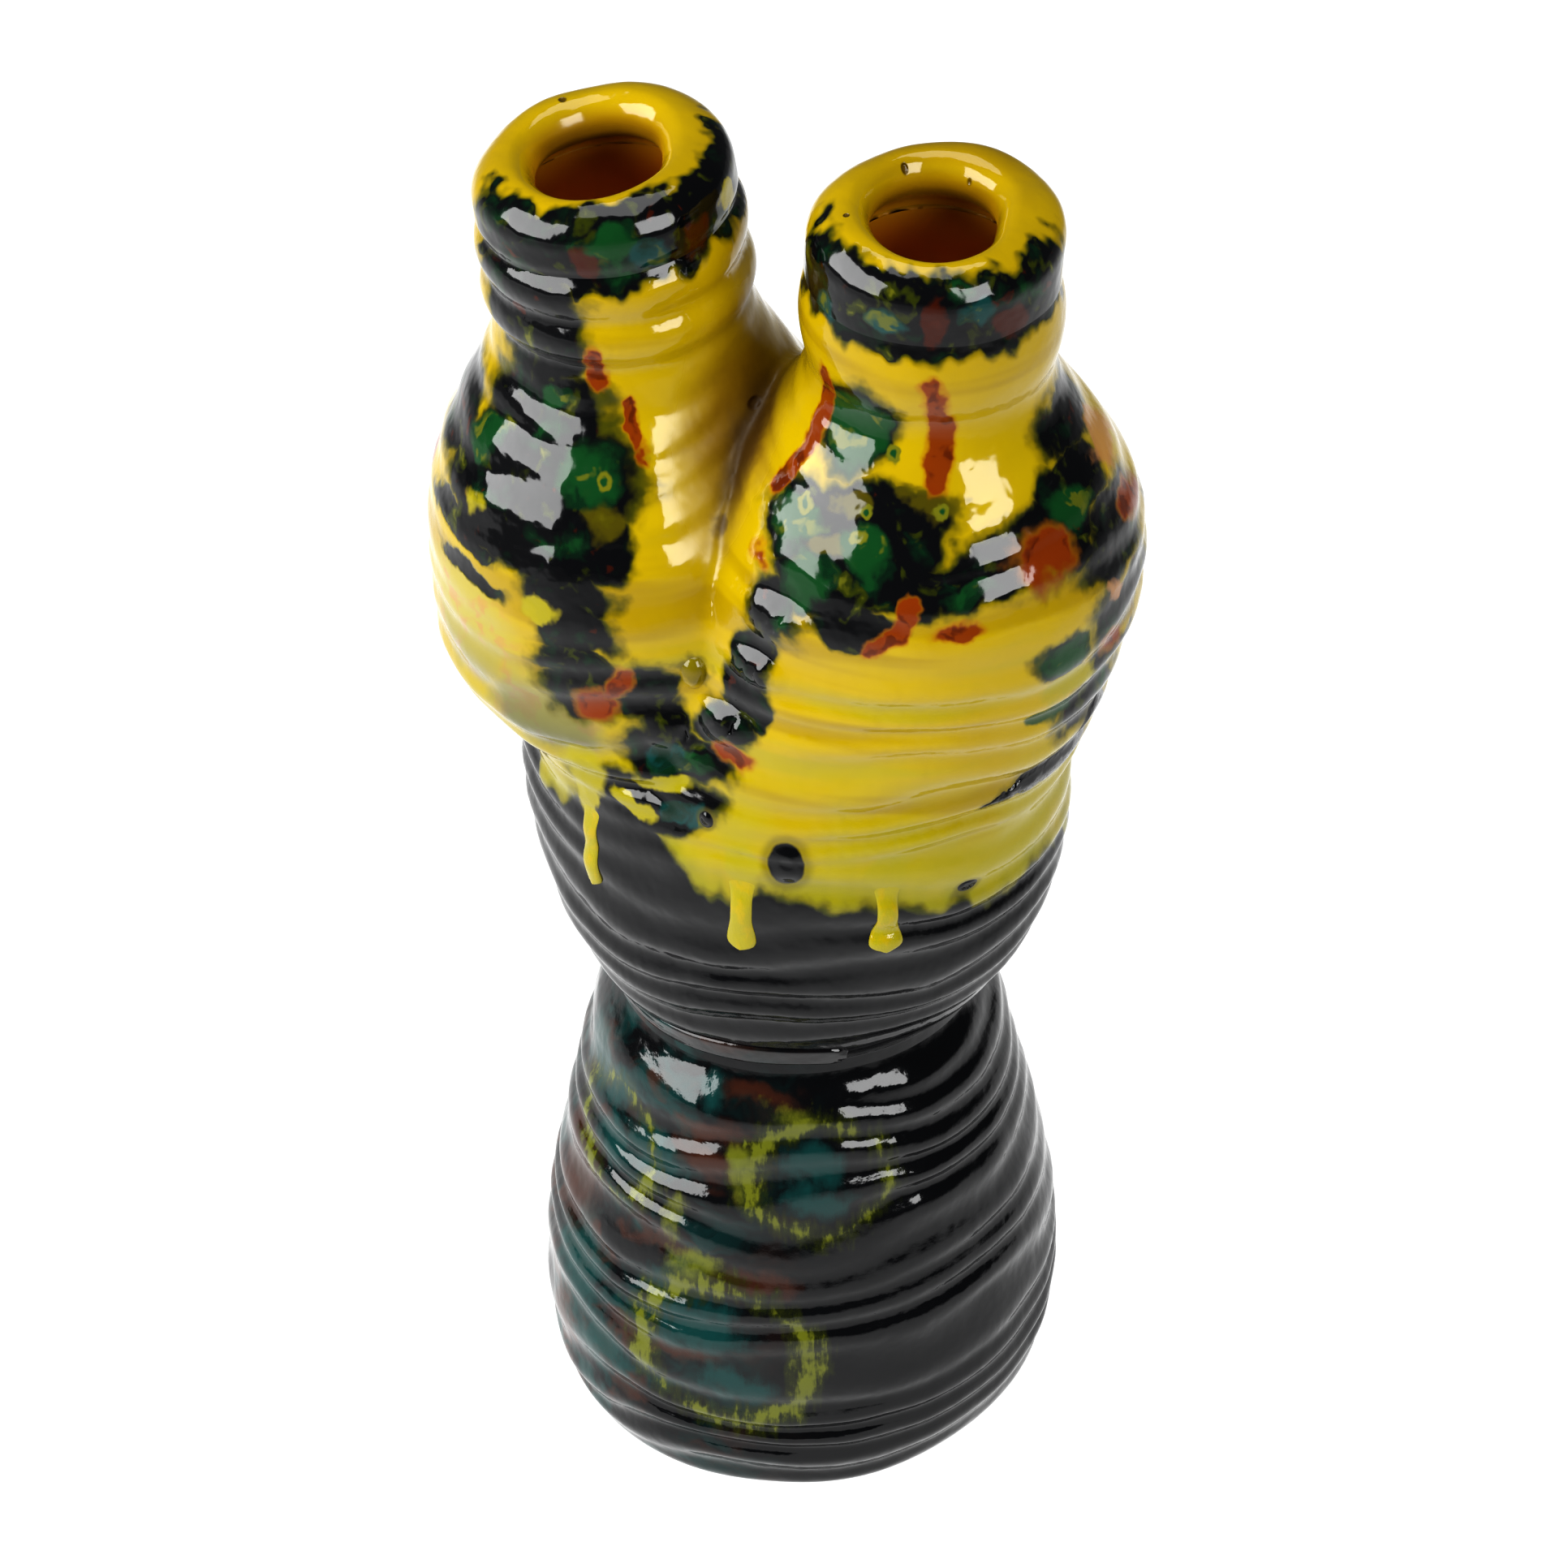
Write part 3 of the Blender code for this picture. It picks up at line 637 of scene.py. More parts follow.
class Wire:
    # one shader socket, so that node sums read as plain sums
    def __init__(self, tree, socket):
        self.tree = tree
        self.socket = socket

    def add(self, kind, settings, inputs, output=0):
        made = self.tree.nodes.new(kind)
        for key, value in settings.items():
            setattr(made, key, value)
        for key, value in inputs.items():
            if isinstance(value, Wire):
                self.tree.links.new(value.socket, made.inputs[key])
            else:
                made.inputs[key].default_value = value
        return Wire(self.tree, made.outputs[output])

    def sum(self, operation, first, second):
        return self.add("ShaderNodeMath", {"operation": operation}, {0: first, 1: second})

    def __add__(self, other):
        return self.sum("ADD", self, other)

    def __radd__(self, other):
        return self.sum("ADD", other, self)

    def __sub__(self, other):
        return self.sum("SUBTRACT", self, other)

    def __rsub__(self, other):
        return self.sum("SUBTRACT", other, self)

    def __mul__(self, other):
        return self.sum("MULTIPLY", self, other)

    def __rmul__(self, other):
        return self.sum("MULTIPLY", other, self)

    def size(self):
        return self.sum("ABSOLUTE", self, 0.0)

    def root(self):
        return self.sum("SQRT", self, 0.0)

    def least(self, other):
        return self.sum("MINIMUM", self, other)

    def most(self, other):
        return self.sum("MAXIMUM", self, other)

    def ease(self, start, end):
        # 0 at start, 1 at end, with soft shoulders
        settings = {"interpolation_type": "SMOOTHSTEP"}
        return self.add("ShaderNodeMapRange", settings, {"Value": self, "From Min": start, "From Max": end})

    def vector(self, operation, *others, output=0):
        inputs = {i: value for i, value in enumerate((self,) + others)}
        return self.add("ShaderNodeVectorMath", {"operation": operation}, inputs, output)

    def along(self, axis):
        return self.add("ShaderNodeSeparateXYZ", {}, {0: self}, axis)

    def noise(self, stretch, detail=2.0, rough=0.5, output=0):
        # stretch is how many swells there are to the millimetre, along x, y and z
        place = self.vector("MULTIPLY", stretch)
        settings = {"noise_dimensions": "3D"}
        return self.add("ShaderNodeTexNoise", settings,
                        {"Vector": place, "Scale": 1.0, "Detail": detail, "Roughness": rough}, output)

    def blend(self, share, other):
        # this colour goes over to the other one: sockets 6 and 7 of the Mix node are its colours
        return self.add("ShaderNodeMix", {"data_type": "RGBA"}, {0: share, 6: self, 7: other}, 2)

    def tint(self, share, name):
        return self.blend(share, colours[name])


glaze = dict(ior=1.45, bumpDepth=0.0012)


def newGlaze(name):
    material = bpy.data.materials.new(name)
    material.use_nodes = True
    tree = material.node_tree
    shader = tree.nodes["Principled BSDF"]
    shader.inputs["IOR"].default_value = glaze["ior"]
    coords = tree.nodes.new("ShaderNodeTexCoord")
    place = Wire(tree, coords.outputs["Object"]).vector("MULTIPLY", (1000.0, 1000.0, 1000.0))
    return material, tree, shader, place


def finishGlaze(tree, shader, colour, rough, height):
    tree.links.new(colour.socket, shader.inputs["Base Color"])
    tree.links.new(rough.socket, shader.inputs["Roughness"])
    settings = {"Height": height, "Strength": 1.0, "Distance": glaze["bumpDepth"]}
    bumped = height.add("ShaderNodeBump", {}, settings)
    tree.links.new(bumped.socket, shader.inputs["Normal"])


def nearest(place, dabList):
    # below 1 inside the nearest dab: centre and reach of each in millimetres
    found = None
    for x, y, z, reachX, reachY, reachZ in dabList:
        scale = (1 / reachX, 1 / reachY, 1 / reachZ)
        shift = (-x / reachX, -y / reachY, -z / reachZ)
        far = place.vector("MULTIPLY_ADD", scale, shift).vector("LENGTH", output=1)
        found = far if found is None else found.least(far)
    return found


def alongStrokes(place, strokes):
    # below 1 inside a brush stroke: points it goes through and its half width, in millimetres
    found = None
    for width, *points in strokes:
        for start, end in zip(points, points[1:]):
            way = Vector(end) - Vector(start)
            fromStart = place.vector("SUBTRACT", start)
            share = fromStart.vector("DOT_PRODUCT", tuple(way / way.length_squared), output=1)
            share = share.most(0.0).least(1.0)
            settings = {"operation": "SCALE"}
            onWay = share.add("ShaderNodeVectorMath", settings, {"Vector": tuple(way), "Scale": share})
            far = fromStart.vector("DISTANCE", onWay, output=1) * (1.0 / width)
            found = far if found is None else found.least(far)
    return found


def fromPlane(place, spot, normal):
    # height above a plane, in millimetres
    offset = -1000.0 * spot.dot(normal)
    return place.vector("DOT_PRODUCT", tuple(normal), output=1) + offset


def plainColour(tree, colour):
    made = Wire(tree, tree.nodes.new("ShaderNodeRGB").outputs[0])
    made.socket.default_value = colour
    return made


def centred(vector, reach):
    # a noise colour as a drift of so many millimetres
    return vector.vector("SUBTRACT", (0.5, 0.5, 0.5)).vector("MULTIPLY", (reach, reach, reach))


colours = dict(
    golden=(0.325, 0.224, 0.001, 1),
    yellow=(0.350, 0.250, 0.0006, 1),
    lemon=(0.275, 0.236, 0.006, 1),
    pale=(0.32, 0.268, 0.052, 1),
    salmon=(0.36, 0.17, 0.06, 1),
    lime=(0.150, 0.155, 0.006, 1),
    honey=(0.125, 0.062, 0.0004, 1),
    umber=(0.045, 0.020, 0.0006, 1),
    olive=(0.075, 0.062, 0.0015, 1),
    moss=(0.030, 0.037, 0.002, 1),
    thin=(0.085, 0.090, 0.040, 1),
    black=(0.0035, 0.0036, 0.0042, 1),
    green=(0.006, 0.048, 0.012, 1),
    deep=(0.003, 0.017, 0.007, 1),
    fleck=(0.115, 0.115, 0.008, 1),
    teal=(0.006, 0.045, 0.042, 1),
    rust=(0.160, 0.027, 0.001, 1),
    amber=(0.270, 0.095, 0.001, 1),
    ember=(0.055, 0.008, 0.001, 1),
    earth=(0.045, 0.015, 0.008, 1),
    spring=(0.118, 0.128, 0.012, 1),
    bore=(0.60, 0.310, 0.006, 1),
    depth=(0.62, 0.150, 0.012, 1),
)

# where the brush and the pourer went, and where painted shade darkens the groove: x, y, z and the reach
# along each, in millimetres
dabs = dict(
    black=[
        (-43, -22, 272, 13, 14, 14), (-40, -26, 252, 14, 13, 11), (-46, -28, 240, 15, 13, 11),
        (-32, -31, 243, 14, 11, 11), (-50, -27, 233, 11, 12, 7), (-36, -35, 231, 14, 10, 7),
        (-25, -35, 233, 7, 8, 7), (-30, -39, 224, 9, 7, 6), (-28, -40, 216, 8, 7, 6),
        (-29, -40, 208, 7, 7, 6), (-26, -41, 201, 9, 7, 6), (-16, -38, 202, 5, 6, 8),
        (-12, -38, 195, 5, 6, 6), (-60, -12, 241, 8, 14, 10), (-54, -29, 226, 13, 12, 2.4),
        (-51, -32, 219, 11, 10, 1.9), (22, -24, 265, 7, 9, 9), (14, -31, 246, 9, 9, 9),
        (24, -31, 249, 9, 9, 7), (33, -29, 249, 9, 9, 7), (21, -36, 237, 12, 8, 6),
        (35, -33, 241, 10, 9, 6), (27, -38, 232, 9, 7, 4), (47, -28, 241, 9, 10, 6),
        (57, -16, 243, 8, 11, 8), (58, -8, 250, 7, 11, 6), (51, 2, 257, 6, 11, 7), (11, -36, 228, 7, 7, 7),
        (63, -2, 236, 7, 13, 9), (65, -3, 222, 6, 13, 7), (64, -6, 212, 5, 9, 5), (62, -9, 201, 5, 10, 8),
        (60, -20, 219, 4, 6, 5), (7, -37, 217, 5, 6, 7), (4, -38, 208, 5, 6, 7), (0, -39, 199, 6, 6, 6),
        (-9, -41, 189, 11, 7, 6), (-12, -42, 178, 13, 8, 6), (-24, -40, 176, 9, 8, 5),
    ],
    green=[
        (-28, -31, 245, 7, 6, 7), (-51, -23, 244, 5, 6, 4), (-37, -25, 257, 4, 5, 3),
        (22, -23, 264, 6, 7, 8), (13, -30, 245, 6, 6, 5), (17, -35, 236, 6, 6, 6), (26, -33, 245, 5, 6, 4),
        (46, -29, 238, 4, 5, 3), (57, -10, 247, 5, 7, 5), (60, -20, 219, 5, 6, 4),
        (58, -20, 204, 3.5, 5, 3.5), (-8, -41, 188, 7, 5, 3), (-25, -22, 292, 4, 5, 3),
    ],
    teal=[
        (27, -23, 290, 4, 4, 3), (43, -18, 291, 4, 4, 3), (-11, -39, 189, 5, 5, 3), (-4, -42, 176, 3, 5, 3),
        (-9, -41, 177, 4, 5, 2.5), (-19, -22, 290, 4, 5, 4), (14, -18, 288, 3, 4, 4),
    ],
    rust=[
        (-24, -41, 199, 4.5, 5, 3.5), (-20, -40, 205, 2.5, 4, 4), (-68, -7, 224, 3, 6, 4),
        (6, -31, 236, 2.6, 3, 2.6), (56, -20, 240, 5, 6, 5), (46, -34, 232, 5, 4, 2),
        (3, -39, 192, 4, 4, 2.5), (66, -6, 217, 3, 6, 4), (63, 6, 236, 3, 6, 4),
    ],
    ember=[
        (-30, -24, 289, 3, 4, 4), (-14, -11, 289, 3, 4, 4), (35.5, -22, 290, 2.5, 4, 5),
        (47, -12.5, 288, 3, 4, 3),
    ],
    olive=[
        (-7, -38, 208, 4, 5, 5), (34, -26, 254, 4, 4, 3), (39, -26, 252, 4, 4, 2.5),
        (22, -29, 251, 3, 4, 2.5), (20, -33, 243, 3, 4, 2.5), (-24, -33, 238, 4, 5, 3),
    ],
    salmon=[(57, 8, 248, 5, 8, 5), (65, -4, 228, 3, 6, 3)],
    yellow=[
        (-52, -27, 233, 4, 5, 3), (-35, -39, 220, 3.5, 4, 2), (-11, -41, 183, 6, 5, 2),
        (-17, -40, 176, 4, 5, 2), (61, -18, 211, 5, 6, 3.5), (-12, -1, 291, 2, 3, 3),
    ],
    funnels=[
        (-28, -38, 180, 5, 6, 7), (-28.3, -38, 172, 2.6, 6, 6), (5.3, -43.5, 169, 3.6, 6, 4.5),
        (32, -35.5, 168.5, 3.8, 6, 4.5),
    ],
    pale=[(-52, -32, 207, 17, 18, 15), (-36, -39, 192, 15, 10, 12)],
    # honey and umber: painted shade down into the groove between the bottles, over some brown of the glaze's
    # own
    honey=[(-6, -8, 245, 12, 24, 32)],
    umber=[(-3.5, -12, 243, 4.5, 16, 24), (-4.9, -24.6, 235.5, 1.8, 3, 3)],
    dots=[
        (13.7, -27.8, 248.4, 1.7, 2.5, 1.9), (26, -30, 251, 1.5, 2.5, 1.6), (25, -31.5, 247, 1.8, 2.5, 1.5),
        (29, -24, 261, 1.5, 2.5, 2), (-25, -31, 245, 1.6, 2.5, 1.8), (39, -26, 252, 1.6, 2.5, 1.4),
    ],
    pins=[
        (-48.4, 11.5, 295.5, 0.8, 0.8, 2), (18.9, 9.8, 298.8, 0.7, 0.7, 2),
        (30.2, 12.1, 297, 0.7, 0.7, 1.4), (14.7, -9.5, 300, 0.6, 0.6, 2), (-4.5, -6.8, 250.5, 1.2, 2, 1.2),
    ],
    beads=[
        (13.9, -41.3, 170.8, 3.6, 5, 5.2), (44.5, -25.5, 160.3, 1.8, 3, 1.4), (-2, -41.5, 177.6, 1.6, 3, 2),
    ],
)
# brush strokes: half width, then the points they go through
strokes = dict(
    rust=[
        (1.8, (15, -19, 273), (13.5, -19.5, 262), (10.5, -22.5, 254), (6.5, -24, 248)),
        (2.2, (35, -22, 277), (37, -21, 267), (37, -24, 256)),
        (1.8, (36.5, -36, 237), (35, -38, 231), (30, -39, 227)),
        (1.4, (-22.5, -24, 258), (-21, -25, 251), (-19, -26, 247)),
        (1.8, (-29, -24, 269), (-28.5, -24, 262)),
    ],
    dark=[(4.0, (63, -2, 192), (57.5, -8, 185)), (3.0, (57.5, -8, 184.5), (53, -18.5, 184)),
          (1.8, (53, -18.5, 184.3), (48, -25, 181.5))],
)


def makeUpperGlaze():
    material, tree, shader, place = newGlaze("splashed_yellow_glaze")
    sideways, height = place.along(0), place.along(2)
    broad = place.noise((0.045, 0.045, 0.045))
    bands = place.noise((0.012, 0.012, 0.15))
    ragged = place.noise((0.24, 0.24, 0.24))
    scallop = place.noise((0.24, 0.24, 0.04), 1.0)
    swirl = place.noise((0.08, 0.08, 0.08), output=1)
    curl = place.noise((0.30, 0.30, 0.25), 2.0, 0.55, output=1)
    drawn = place.vector("ADD", centred(curl, 3.0))
    moved = drawn.vector("ADD", centred(swirl, 11.0))
    mottle = moved.noise((0.11, 0.11, 0.11), 3.0, 0.55)
    dapple = moved.noise((0.20, 0.20, 0.20))

    # the ground: golden on top, yellow below, lemon where it thins over the bowl
    colour = plainColour(tree, colours["yellow"])
    paleSpot = nearest(moved, dabs["pale"]).ease(1.15, 0.55)
    ground = (
        ("golden", height.ease(258, 290)),
        ("lemon", height.ease(205, 172) * 0.8),
        ("lemon", (bands.ease(0.50, 0.66) * height.ease(240, 215)) * 0.6),
        ("golden", broad.ease(0.48, 0.66) * 0.5),
        ("honey", bands.ease(0.46, 0.32) * 0.3),
        ("pale", paleSpot * 0.9),
        ("salmon", (paleSpot * dapple.ease(0.50, 0.64)) * 0.55),
        ("thin", (paleSpot * height.ease(210, 186)) * 0.85),
    )
    for name, share in ground:
        colour = colour.tint(share, name)
    # painted shade: the left bottle's flank darkens to honey and umber into the groove, over some brown of
    # the glaze's own
    for name in ("honey", "umber"):
        near = nearest(drawn, dabs[name]) + (bands - 0.5) * 0.4
        colour = colour.tint(near.ease(1.2, 0.3) * 0.85, name)

    # dark splashes, at the back ones of their own
    dark = nearest(moved, dabs["black"])
    behind = place.along(1).ease(2.0, 18.0)
    shoulder = (height - 236.0).size() * (1 / 60.0)
    spots = (0.95 + shoulder) - moved.noise((0.05, 0.05, 0.06), 1.0) * 1.6
    dark = dark.least(spots * 4.0 + 1.0 + (1.0 - behind) * 3.0)
    bore = None
    for shape in bottles.values():
        # a dark collar round the front of each rim, a brown mouth, and painted shade on the mouth's far
        # inner slope
        spot, normal = neckPlane(shape, shape["rimAt"])
        turn = math.radians(shape["collarTurn"])
        above = fromPlane(place, spot, normal)
        facing = fromPlane(place, spot, polar(1.0, turn, 0.0))
        straight = place.vector("DISTANCE", tuple(1000.0 * spot), output=1)
        radius = (straight * straight - above * above).root()
        outer = 1000.0 * shape["neck"]
        deep = (radius - shape["collar"]).least((facing - shape["collarReach"]) * 0.5).least(above + 2.0)
        deep = deep + (scallop - 0.5) * 8.0 + (dapple - 0.5) * 5.0
        dark = dark.least((1.0 - deep * 0.2).most((radius - outer - 2.0) * 0.5))
        inner = radius.ease(outer - 3.0, outer - 6.0) * above.ease(12.5, 5.0)
        colour = colour.tint(inner, "bore")
        # painted shade: the far inner slope of each mouth goes honey-brown, with some thinning of the glaze
        # there too
        farther = fromPlane(place, spot, Vector((-0.36, 0.93, 0.0))).ease(0.0, 9.0)
        thinnedAndShaded = (radius.ease(outer - 7.5, outer - 11.0) * above.ease(12.5, 7.5)) * farther
        colour = colour.tint(thinnedAndShaded * 0.85, "honey")
        colour = colour.tint(inner * above.ease(5.0, -10.0), "depth")
        bore = inner if bore is None else bore.most(inner)
    dark = dark + (ragged - 0.5) * 0.25

    # the yellow ends over the black bowl in soft lobes, higher at the left of the front
    lobes = place.noise((0.08, 0.08, 0.010))
    drawnUp = (sideways + 21.0).size().ease(16.0, 2.0) * place.along(1).ease(-10.0, -25.0)
    edge = sideways * -0.12 + 163.0 + drawnUp * 13.0 - lobes.ease(0.42, 0.68) * 7.0 + (broad - 0.5) * 6.0
    colour = colour.tint((height - edge).ease(10.0, 1.0) * 0.55, "lime")
    dark = dark.least((height - edge) * 0.12 + 1.0 + (ragged - 0.5) * 0.45)
    fringe = dark + (dapple - 0.5) * 0.5
    colour = colour.tint(fringe.ease(1.40, 1.0) * 0.8, "olive")
    colour = colour.tint(fringe.ease(1.15, 0.95) * 0.8, "moss")
    colour = colour.tint(dark.ease(1.08, 0.90), "black")

    # colours dabbed into the wet splashes
    inside = dark.ease(1.02, 0.80) * height.ease(178, 188)
    specks = (
        ("deep", mottle.ease(0.52, 0.62), 0.7), ("green", mottle.ease(0.60, 0.72), 0.8),
        ("moss", dapple.ease(0.58, 0.68), 0.8), ("fleck", dapple.ease(0.68, 0.76), 0.7),
        ("ember", dapple.ease(0.34, 0.26), 0.7),
    )
    for name, spots, amount in specks:
        colour = colour.tint((inside * spots) * amount, name)
    for name in ("green", "teal"):
        near = nearest(moved, dabs[name]) + (ragged - 0.5) * 0.4
        colour = colour.tint(near.ease(1.15, 0.75) * 0.95, name)
        colour = colour.tint((near.ease(1.1, 0.9) * mottle.ease(0.50, 0.38)) * 0.85, "deep")
        colour = colour.tint((near.ease(1.0, 0.7) * dapple.ease(0.58, 0.68)) * 0.7, "fleck")
    for name in ("ember", "olive", "salmon"):
        near = nearest(moved, dabs[name]) + (dapple - 0.5) * 1.2
        colour = colour.tint(near.ease(1.15, 0.7) * 0.75, name)
    rust = nearest(moved, dabs["rust"]).least(alongStrokes(drawn, strokes["rust"])) + (ragged - 0.5) * 0.6
    colour = colour.tint(rust.ease(1.45, 1.0) * 0.6, "amber")
    colour = colour.tint(rust.ease(1.12, 0.85) * 0.95, "rust")
    colour = colour.tint((rust.ease(1.0, 0.7) * dapple.ease(0.50, 0.60)) * 0.7, "ember")
    bright = nearest(moved, dabs["yellow"]).least(nearest(drawn, dabs["funnels"])) + (ragged - 0.5) * 0.5
    colour = colour.tint(bright.ease(1.2, 0.8) * 0.9, "lemon")
    dots = nearest(drawn, dabs["dots"])
    colour = colour.tint(dots.ease(1.15, 0.85), "fleck")
    colour = colour.tint(dots.ease(0.65, 0.40), "green")
    pins = nearest(place, dabs["pins"])
    colour = colour.tint(pins.ease(1.3, 0.8) * 0.85, "umber")
    beads = nearest(place, dabs["beads"]).least(alongStrokes(drawn, strokes["dark"])) + (ragged - 0.5) * 0.25
    colour = colour.tint(beads.ease(1.6, 1.1) * 0.5, "olive")
    colour = colour.tint(beads.ease(1.05, 0.90), "black")

    swell = place.noise((0.13, 0.13, 0.13))
    relief = swell * 0.30 + ragged * 0.06 - dark.ease(1.3, 0.9) * 0.05
    relief = relief - pins.ease(1.1, 0.5) * 0.3 + beads.ease(1.0, 0.3) * 0.4
    groove = nearest(drawn, dabs["umber"]).ease(1.1, 0.4)
    flank = nearest(drawn, dabs["honey"]).ease(1.20, 0.80)
    rough = bore * 0.35 + groove * 0.10 + flank * 0.30 + 0.08
    finishGlaze(tree, shader, colour, rough, relief)
    return material


footMarks = dict(
    rings=[(19, -39, 84, 14.5, 14, 13.5), (2, -51, 39.5, 18.5, 14, 17.5), (-26, -36, 79, 12, 14, 13)],
    strong=[
        (4, -43, 86, 9, 8, 12), (12, -41, 98, 9, 7, 6), (-6, -48, 60, 12, 8, 9), (-16, -48, 42, 6, 8, 16),
        (6, -49, 23, 16, 6, 6), (-33, -31, 73, 10, 10, 9), (-37, -22, 84, 6, 9, 14),
        (-15, -44, 72, 6, 7, 7), (19, -47, 40, 5, 6, 12),
    ],
    smears=[
        (2, -43, 86, 3, 5, 8), (-10, -46, 71, 4, 5, 9), (-5, -48, 61, 8, 5, 5), (15, -39, 100, 8, 6, 3),
    ],
    teal=[
        (-32, -26, 92, 8, 9, 9), (-5, -38, 102, 4, 5, 5), (-26, -33, 90, 6, 8, 5), (-16, -41, 82, 10, 8, 6),
        (-33, -39, 41, 12, 10, 16), (-27, -44, 27, 9, 8, 9), (-3, -51, 45, 11, 6, 8),
        (18, -39, 88, 9, 6, 6), (5, -51, 33, 9, 6, 6), (19, -41, 79, 9, 6, 5), (-26, -37, 78, 7, 8, 7),
    ],
    earth=[
        (5, -38, 102, 10, 6, 3), (-4, -41, 93, 8, 6, 4), (-2, -43, 84, 4, 5, 4), (-38, -32, 62, 12, 12, 16),
        (10, -49, 60, 12, 6, 4), (-5, -51, 38, 9, 6, 3),
    ],
)


def makeFootGlaze():
    material, tree, shader, place = newGlaze("mottled_black_glaze")
    ragged = place.noise((0.30, 0.30, 0.30), 3.0, 0.55)
    bristle = place.noise((0.60, 0.60, 0.07), 3.0, 0.6)
    swirl = place.noise((0.10, 0.10, 0.10), output=1)
    drawn = place.vector("ADD", centred(swirl, 4.0))
    moved = place.vector("ADD", centred(swirl, 12.0))
    cloud = moved.noise((0.07, 0.07, 0.12), 3.0, 0.6)
    stain = moved.noise((0.06, 0.09, 0.10), 3.0, 0.6)
    fray = (ragged - 0.5) * 0.6 + (bristle - 0.5) * 0.6
    leftWards = place.along(0).ease(25.0, -25.0)
    colour = plainColour(tree, colours["black"])
    colour = colour.tint((leftWards * cloud.ease(0.45, 0.66)) * 0.7, "teal")
    colour = colour.tint((leftWards * stain.ease(0.50, 0.66)) * 0.8, "earth")
    for name in ("earth", "teal"):
        near = nearest(moved, footMarks[name]) + fray
        colour = colour.tint(near.ease(1.2, 0.4) * 0.8, name)
    # rings left by drops, feathered upright as the glaze ran
    bold = nearest(drawn, footMarks["strong"]).ease(1.4, 0.5)
    for ring in footMarks["rings"]:
        away = (nearest(drawn, [ring]) - 1.0).size()
        mark = 1.0 - away * 3.8 + (bristle - 0.5) * 2.6 + (ragged - 0.5) * 1.4 - (1.0 - bold) * 0.45
        colour = colour.tint(mark.ease(-0.4, 0.5) * 0.45, "moss")
        colour = colour.tint(mark.ease(0.35, 0.95) * 0.85, "spring")
    smear = nearest(moved, footMarks["smears"]) + fray * 1.6
    colour = colour.tint(smear.ease(1.0, 0.2) * 0.8, "spring")
    swell = place.noise((0.13, 0.13, 0.13))
    finishGlaze(tree, shader, colour, ragged * 0.06 + 0.05, swell * 0.30 + ragged * 0.06)
    return material


def makeRunGlaze():
    material, tree, shader, place = newGlaze("run_lemon_glaze")
    ragged = place.noise((0.5, 0.5, 0.3), 3.0, 0.6)
    colour = plainColour(tree, colours["lemon"])
    colour = colour.tint(ragged.ease(0.45, 0.65) * 0.6, "yellow")
    finishGlaze(tree, shader, colour, ragged * 0.06 + 0.05, ragged * 0.15)
    return material


upperGlaze, footGlaze, runGlaze = makeUpperGlaze(), makeFootGlaze(), makeRunGlaze()
turned = [thrownFoot, waistCoil, clayPellet] + list(rims.values())
finishes = {piece: upperGlaze for piece, _, _ in table}
for piece in (thrownFoot, waistCoil):
    finishes[piece] = footGlaze
for piece in runPieces.values():
    finishes[piece] = runGlaze
print("glazes mixed")

for piece, node, slot in table:
    if piece in turned:
        makeActive(piece)
        bpy.ops.object.shade_smooth_by_angle(angle=math.radians(clay["sharpAngle"]))
    else:
        piece.data.shade_smooth()
    piece.data.materials.clear()
    piece.data.materials.append(finishes[piece])
    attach(piece, "root")
    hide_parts(node)
    print(piece.name, len(piece.data.polygons), "faces")


# floor, lights and camera

studio = dict(azimuth=20.95, elevation=42.1, distance=1.2, roll=-0.82, lens=140.4,
              target=Vector((-0.00236, 0, 0.15067)), lampTarget=Vector((0, 0, 0.18)),
              sky=(0.9, 0.95, 1.0, 1.0), skyPower=0.10)
# the floor glows by itself, a painted pool of light that ends not far behind the vase
pool = dict(middle=(-0.07, 0.19, 0.0), bright=0.35, end=1.0, near=(1, 1, 1, 1), far=(0.2, 0.2, 0.2, 1),
            size=12, colour=(0.25, 0.25, 0.25, 1), rough=0.8, glow=0.68)
lamps = [
    dict(name="left_softbox", azimuth=-50, elevation=21, distance=1.3, width=1.2, height=0.9, power=24.5),
    dict(name="right_softbox", azimuth=58, elevation=23, distance=1.3, width=0.58, height=0.72, power=10.4),
    dict(name="top_light", azimuth=10, elevation=86, distance=1.4, width=1.2, height=1.2, power=14),
]


def direction(azimuth, elevation):
    turn, rise = math.radians(azimuth), math.radians(elevation)
    return Vector((math.sin(turn) * math.cos(rise), -math.cos(turn) * math.cos(rise), math.sin(rise)))


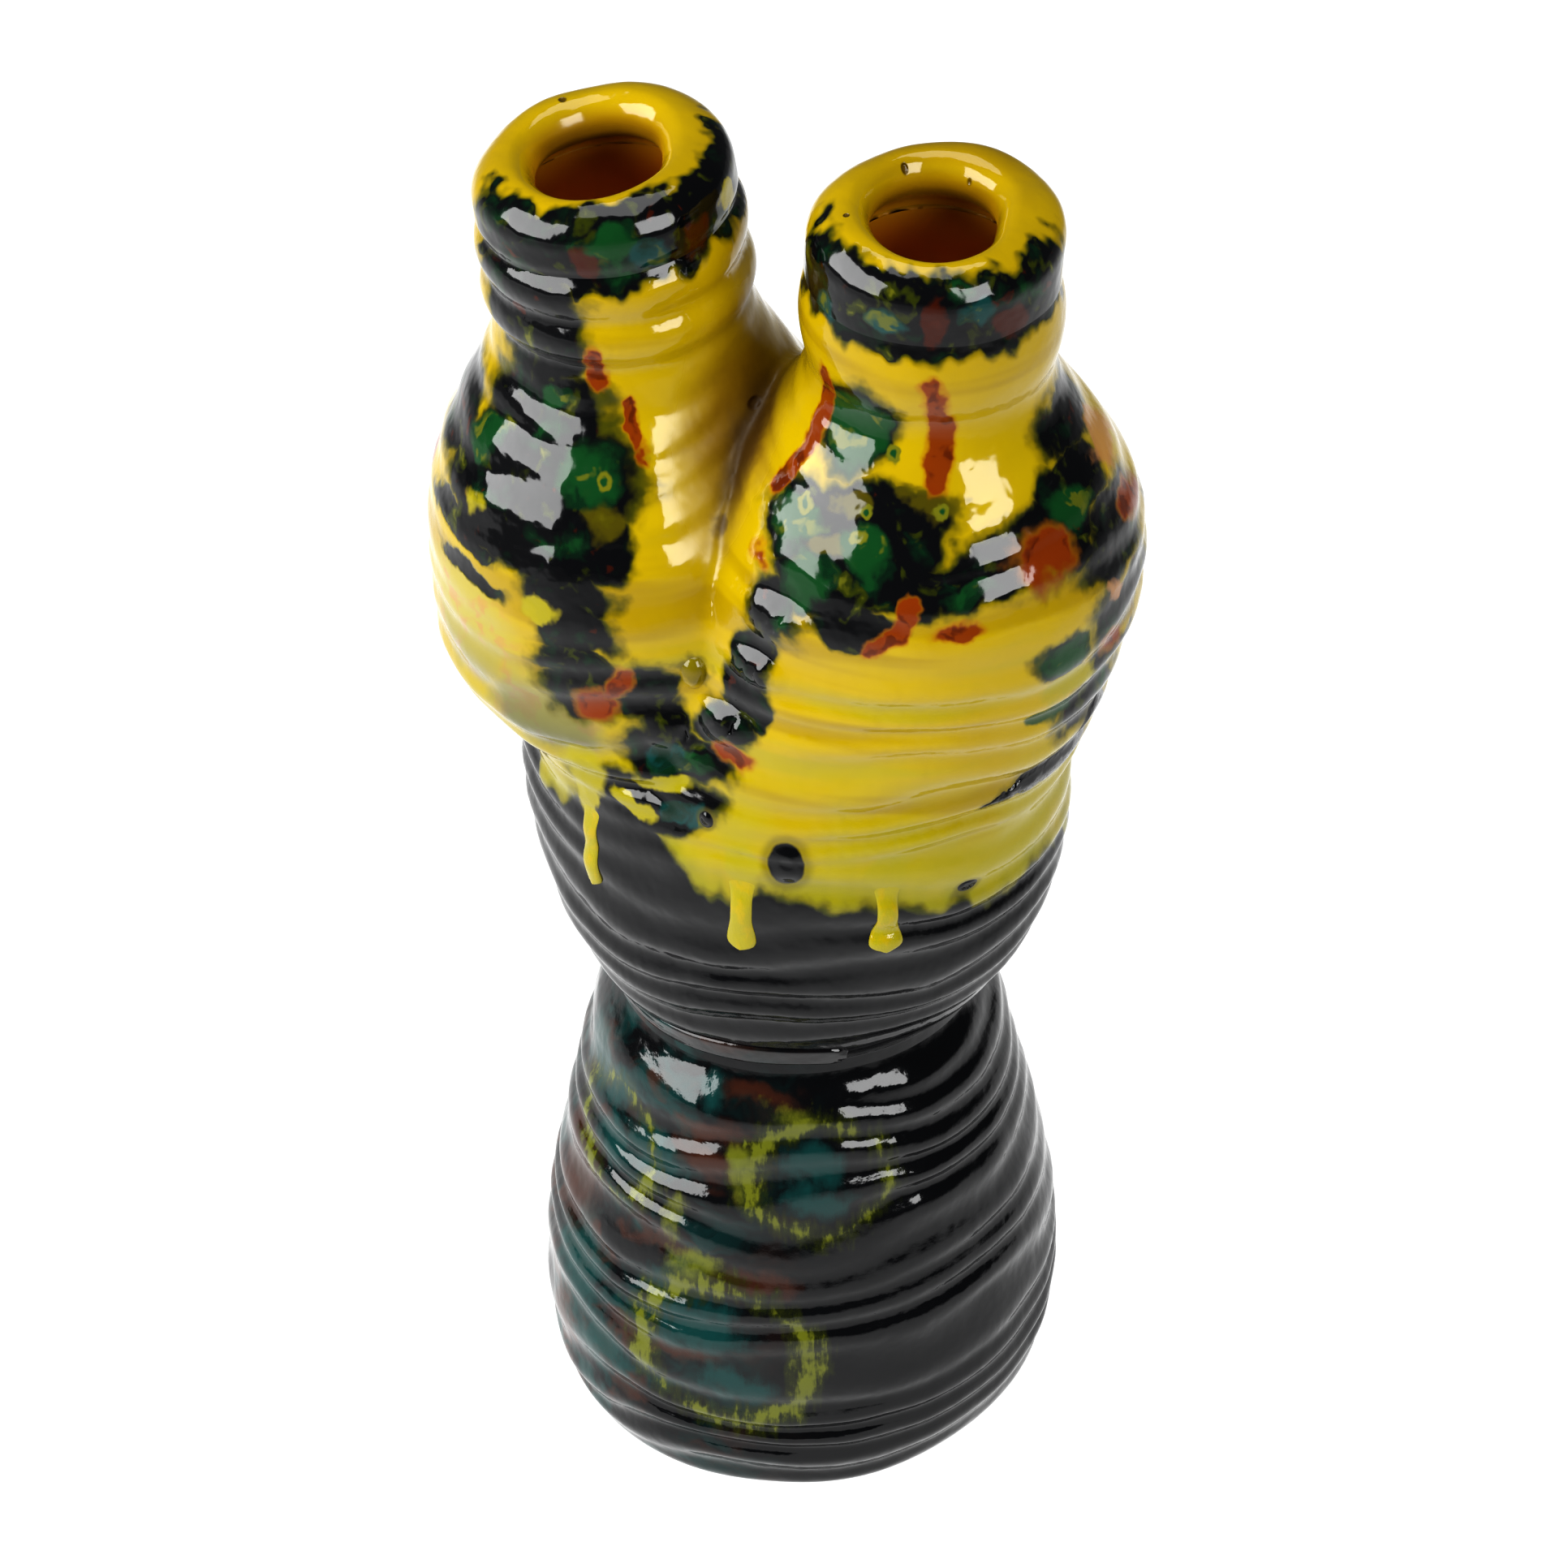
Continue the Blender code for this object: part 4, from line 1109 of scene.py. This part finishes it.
def makeFloor():
    deselectAll()
    bpy.ops.mesh.primitive_plane_add(size=pool["size"], location=(0, 0, 0))
    floor = bpy.context.object
    floor.name = "pale_floor"
    material = bpy.data.materials.new("pale_floor")
    material.use_nodes = True
    tree = material.node_tree
    shader = tree.nodes["Principled BSDF"]
    shader.inputs["Base Color"].default_value = pool["colour"]
    shader.inputs["Roughness"].default_value = pool["rough"]
    shader.inputs["Specular IOR Level"].default_value = 0.0
    shader.inputs["Emission Strength"].default_value = pool["glow"]
    place = Wire(tree, tree.nodes.new("ShaderNodeTexCoord").outputs["Object"])
    # painted pool of light: the floor's own glow, full near the middle and dim far from it
    away = place.vector("DISTANCE", pool["middle"], output=1)
    glow = plainColour(tree, pool["near"]).blend(away.ease(pool["bright"], pool["end"]), pool["far"])
    tree.links.new(glow.socket, shader.inputs["Emission Color"])
    floor.data.materials.append(material)


def makeSoftbox(name, azimuth, elevation, distance, width, height, power):
    data = bpy.data.lights.new(name, "AREA")
    data.shape = "RECTANGLE"
    data.size, data.size_y = width, height
    data.energy = power
    lamp = bpy.data.objects.new(name, data)
    bpy.context.scene.collection.objects.link(lamp)
    lamp.location = studio["lampTarget"] + direction(azimuth, elevation) * distance
    lamp.rotation_euler = direction(azimuth, elevation).to_track_quat("Z", "Y").to_euler()


def makeCamera():
    data = bpy.data.cameras.new("camera")
    data.lens = studio["lens"]
    data.sensor_width = 36.0
    camera = bpy.data.objects.new("camera", data)
    bpy.context.scene.collection.objects.link(camera)
    back = direction(studio["azimuth"], studio["elevation"])
    camera.location = studio["target"] + back * studio["distance"]
    aim = back.to_track_quat("Z", "Y").to_matrix().to_4x4()
    camera.rotation_euler = (aim @ Matrix.Rotation(math.radians(studio["roll"]), 4, "Z")).to_euler()
    bpy.context.scene.camera = camera


def makeWorld():
    world = bpy.data.worlds.new("studio")
    world.use_nodes = True
    background = world.node_tree.nodes["Background"]
    background.inputs["Color"].default_value = studio["sky"]
    background.inputs["Strength"].default_value = studio["skyPower"]
    bpy.context.scene.world = world


makeFloor()
for lamp in lamps:
    makeSoftbox(**lamp)
makeCamera()
makeWorld()
bpy.context.scene.view_settings.view_transform = "Standard"
bpy.context.scene.view_settings.look = "High Contrast"
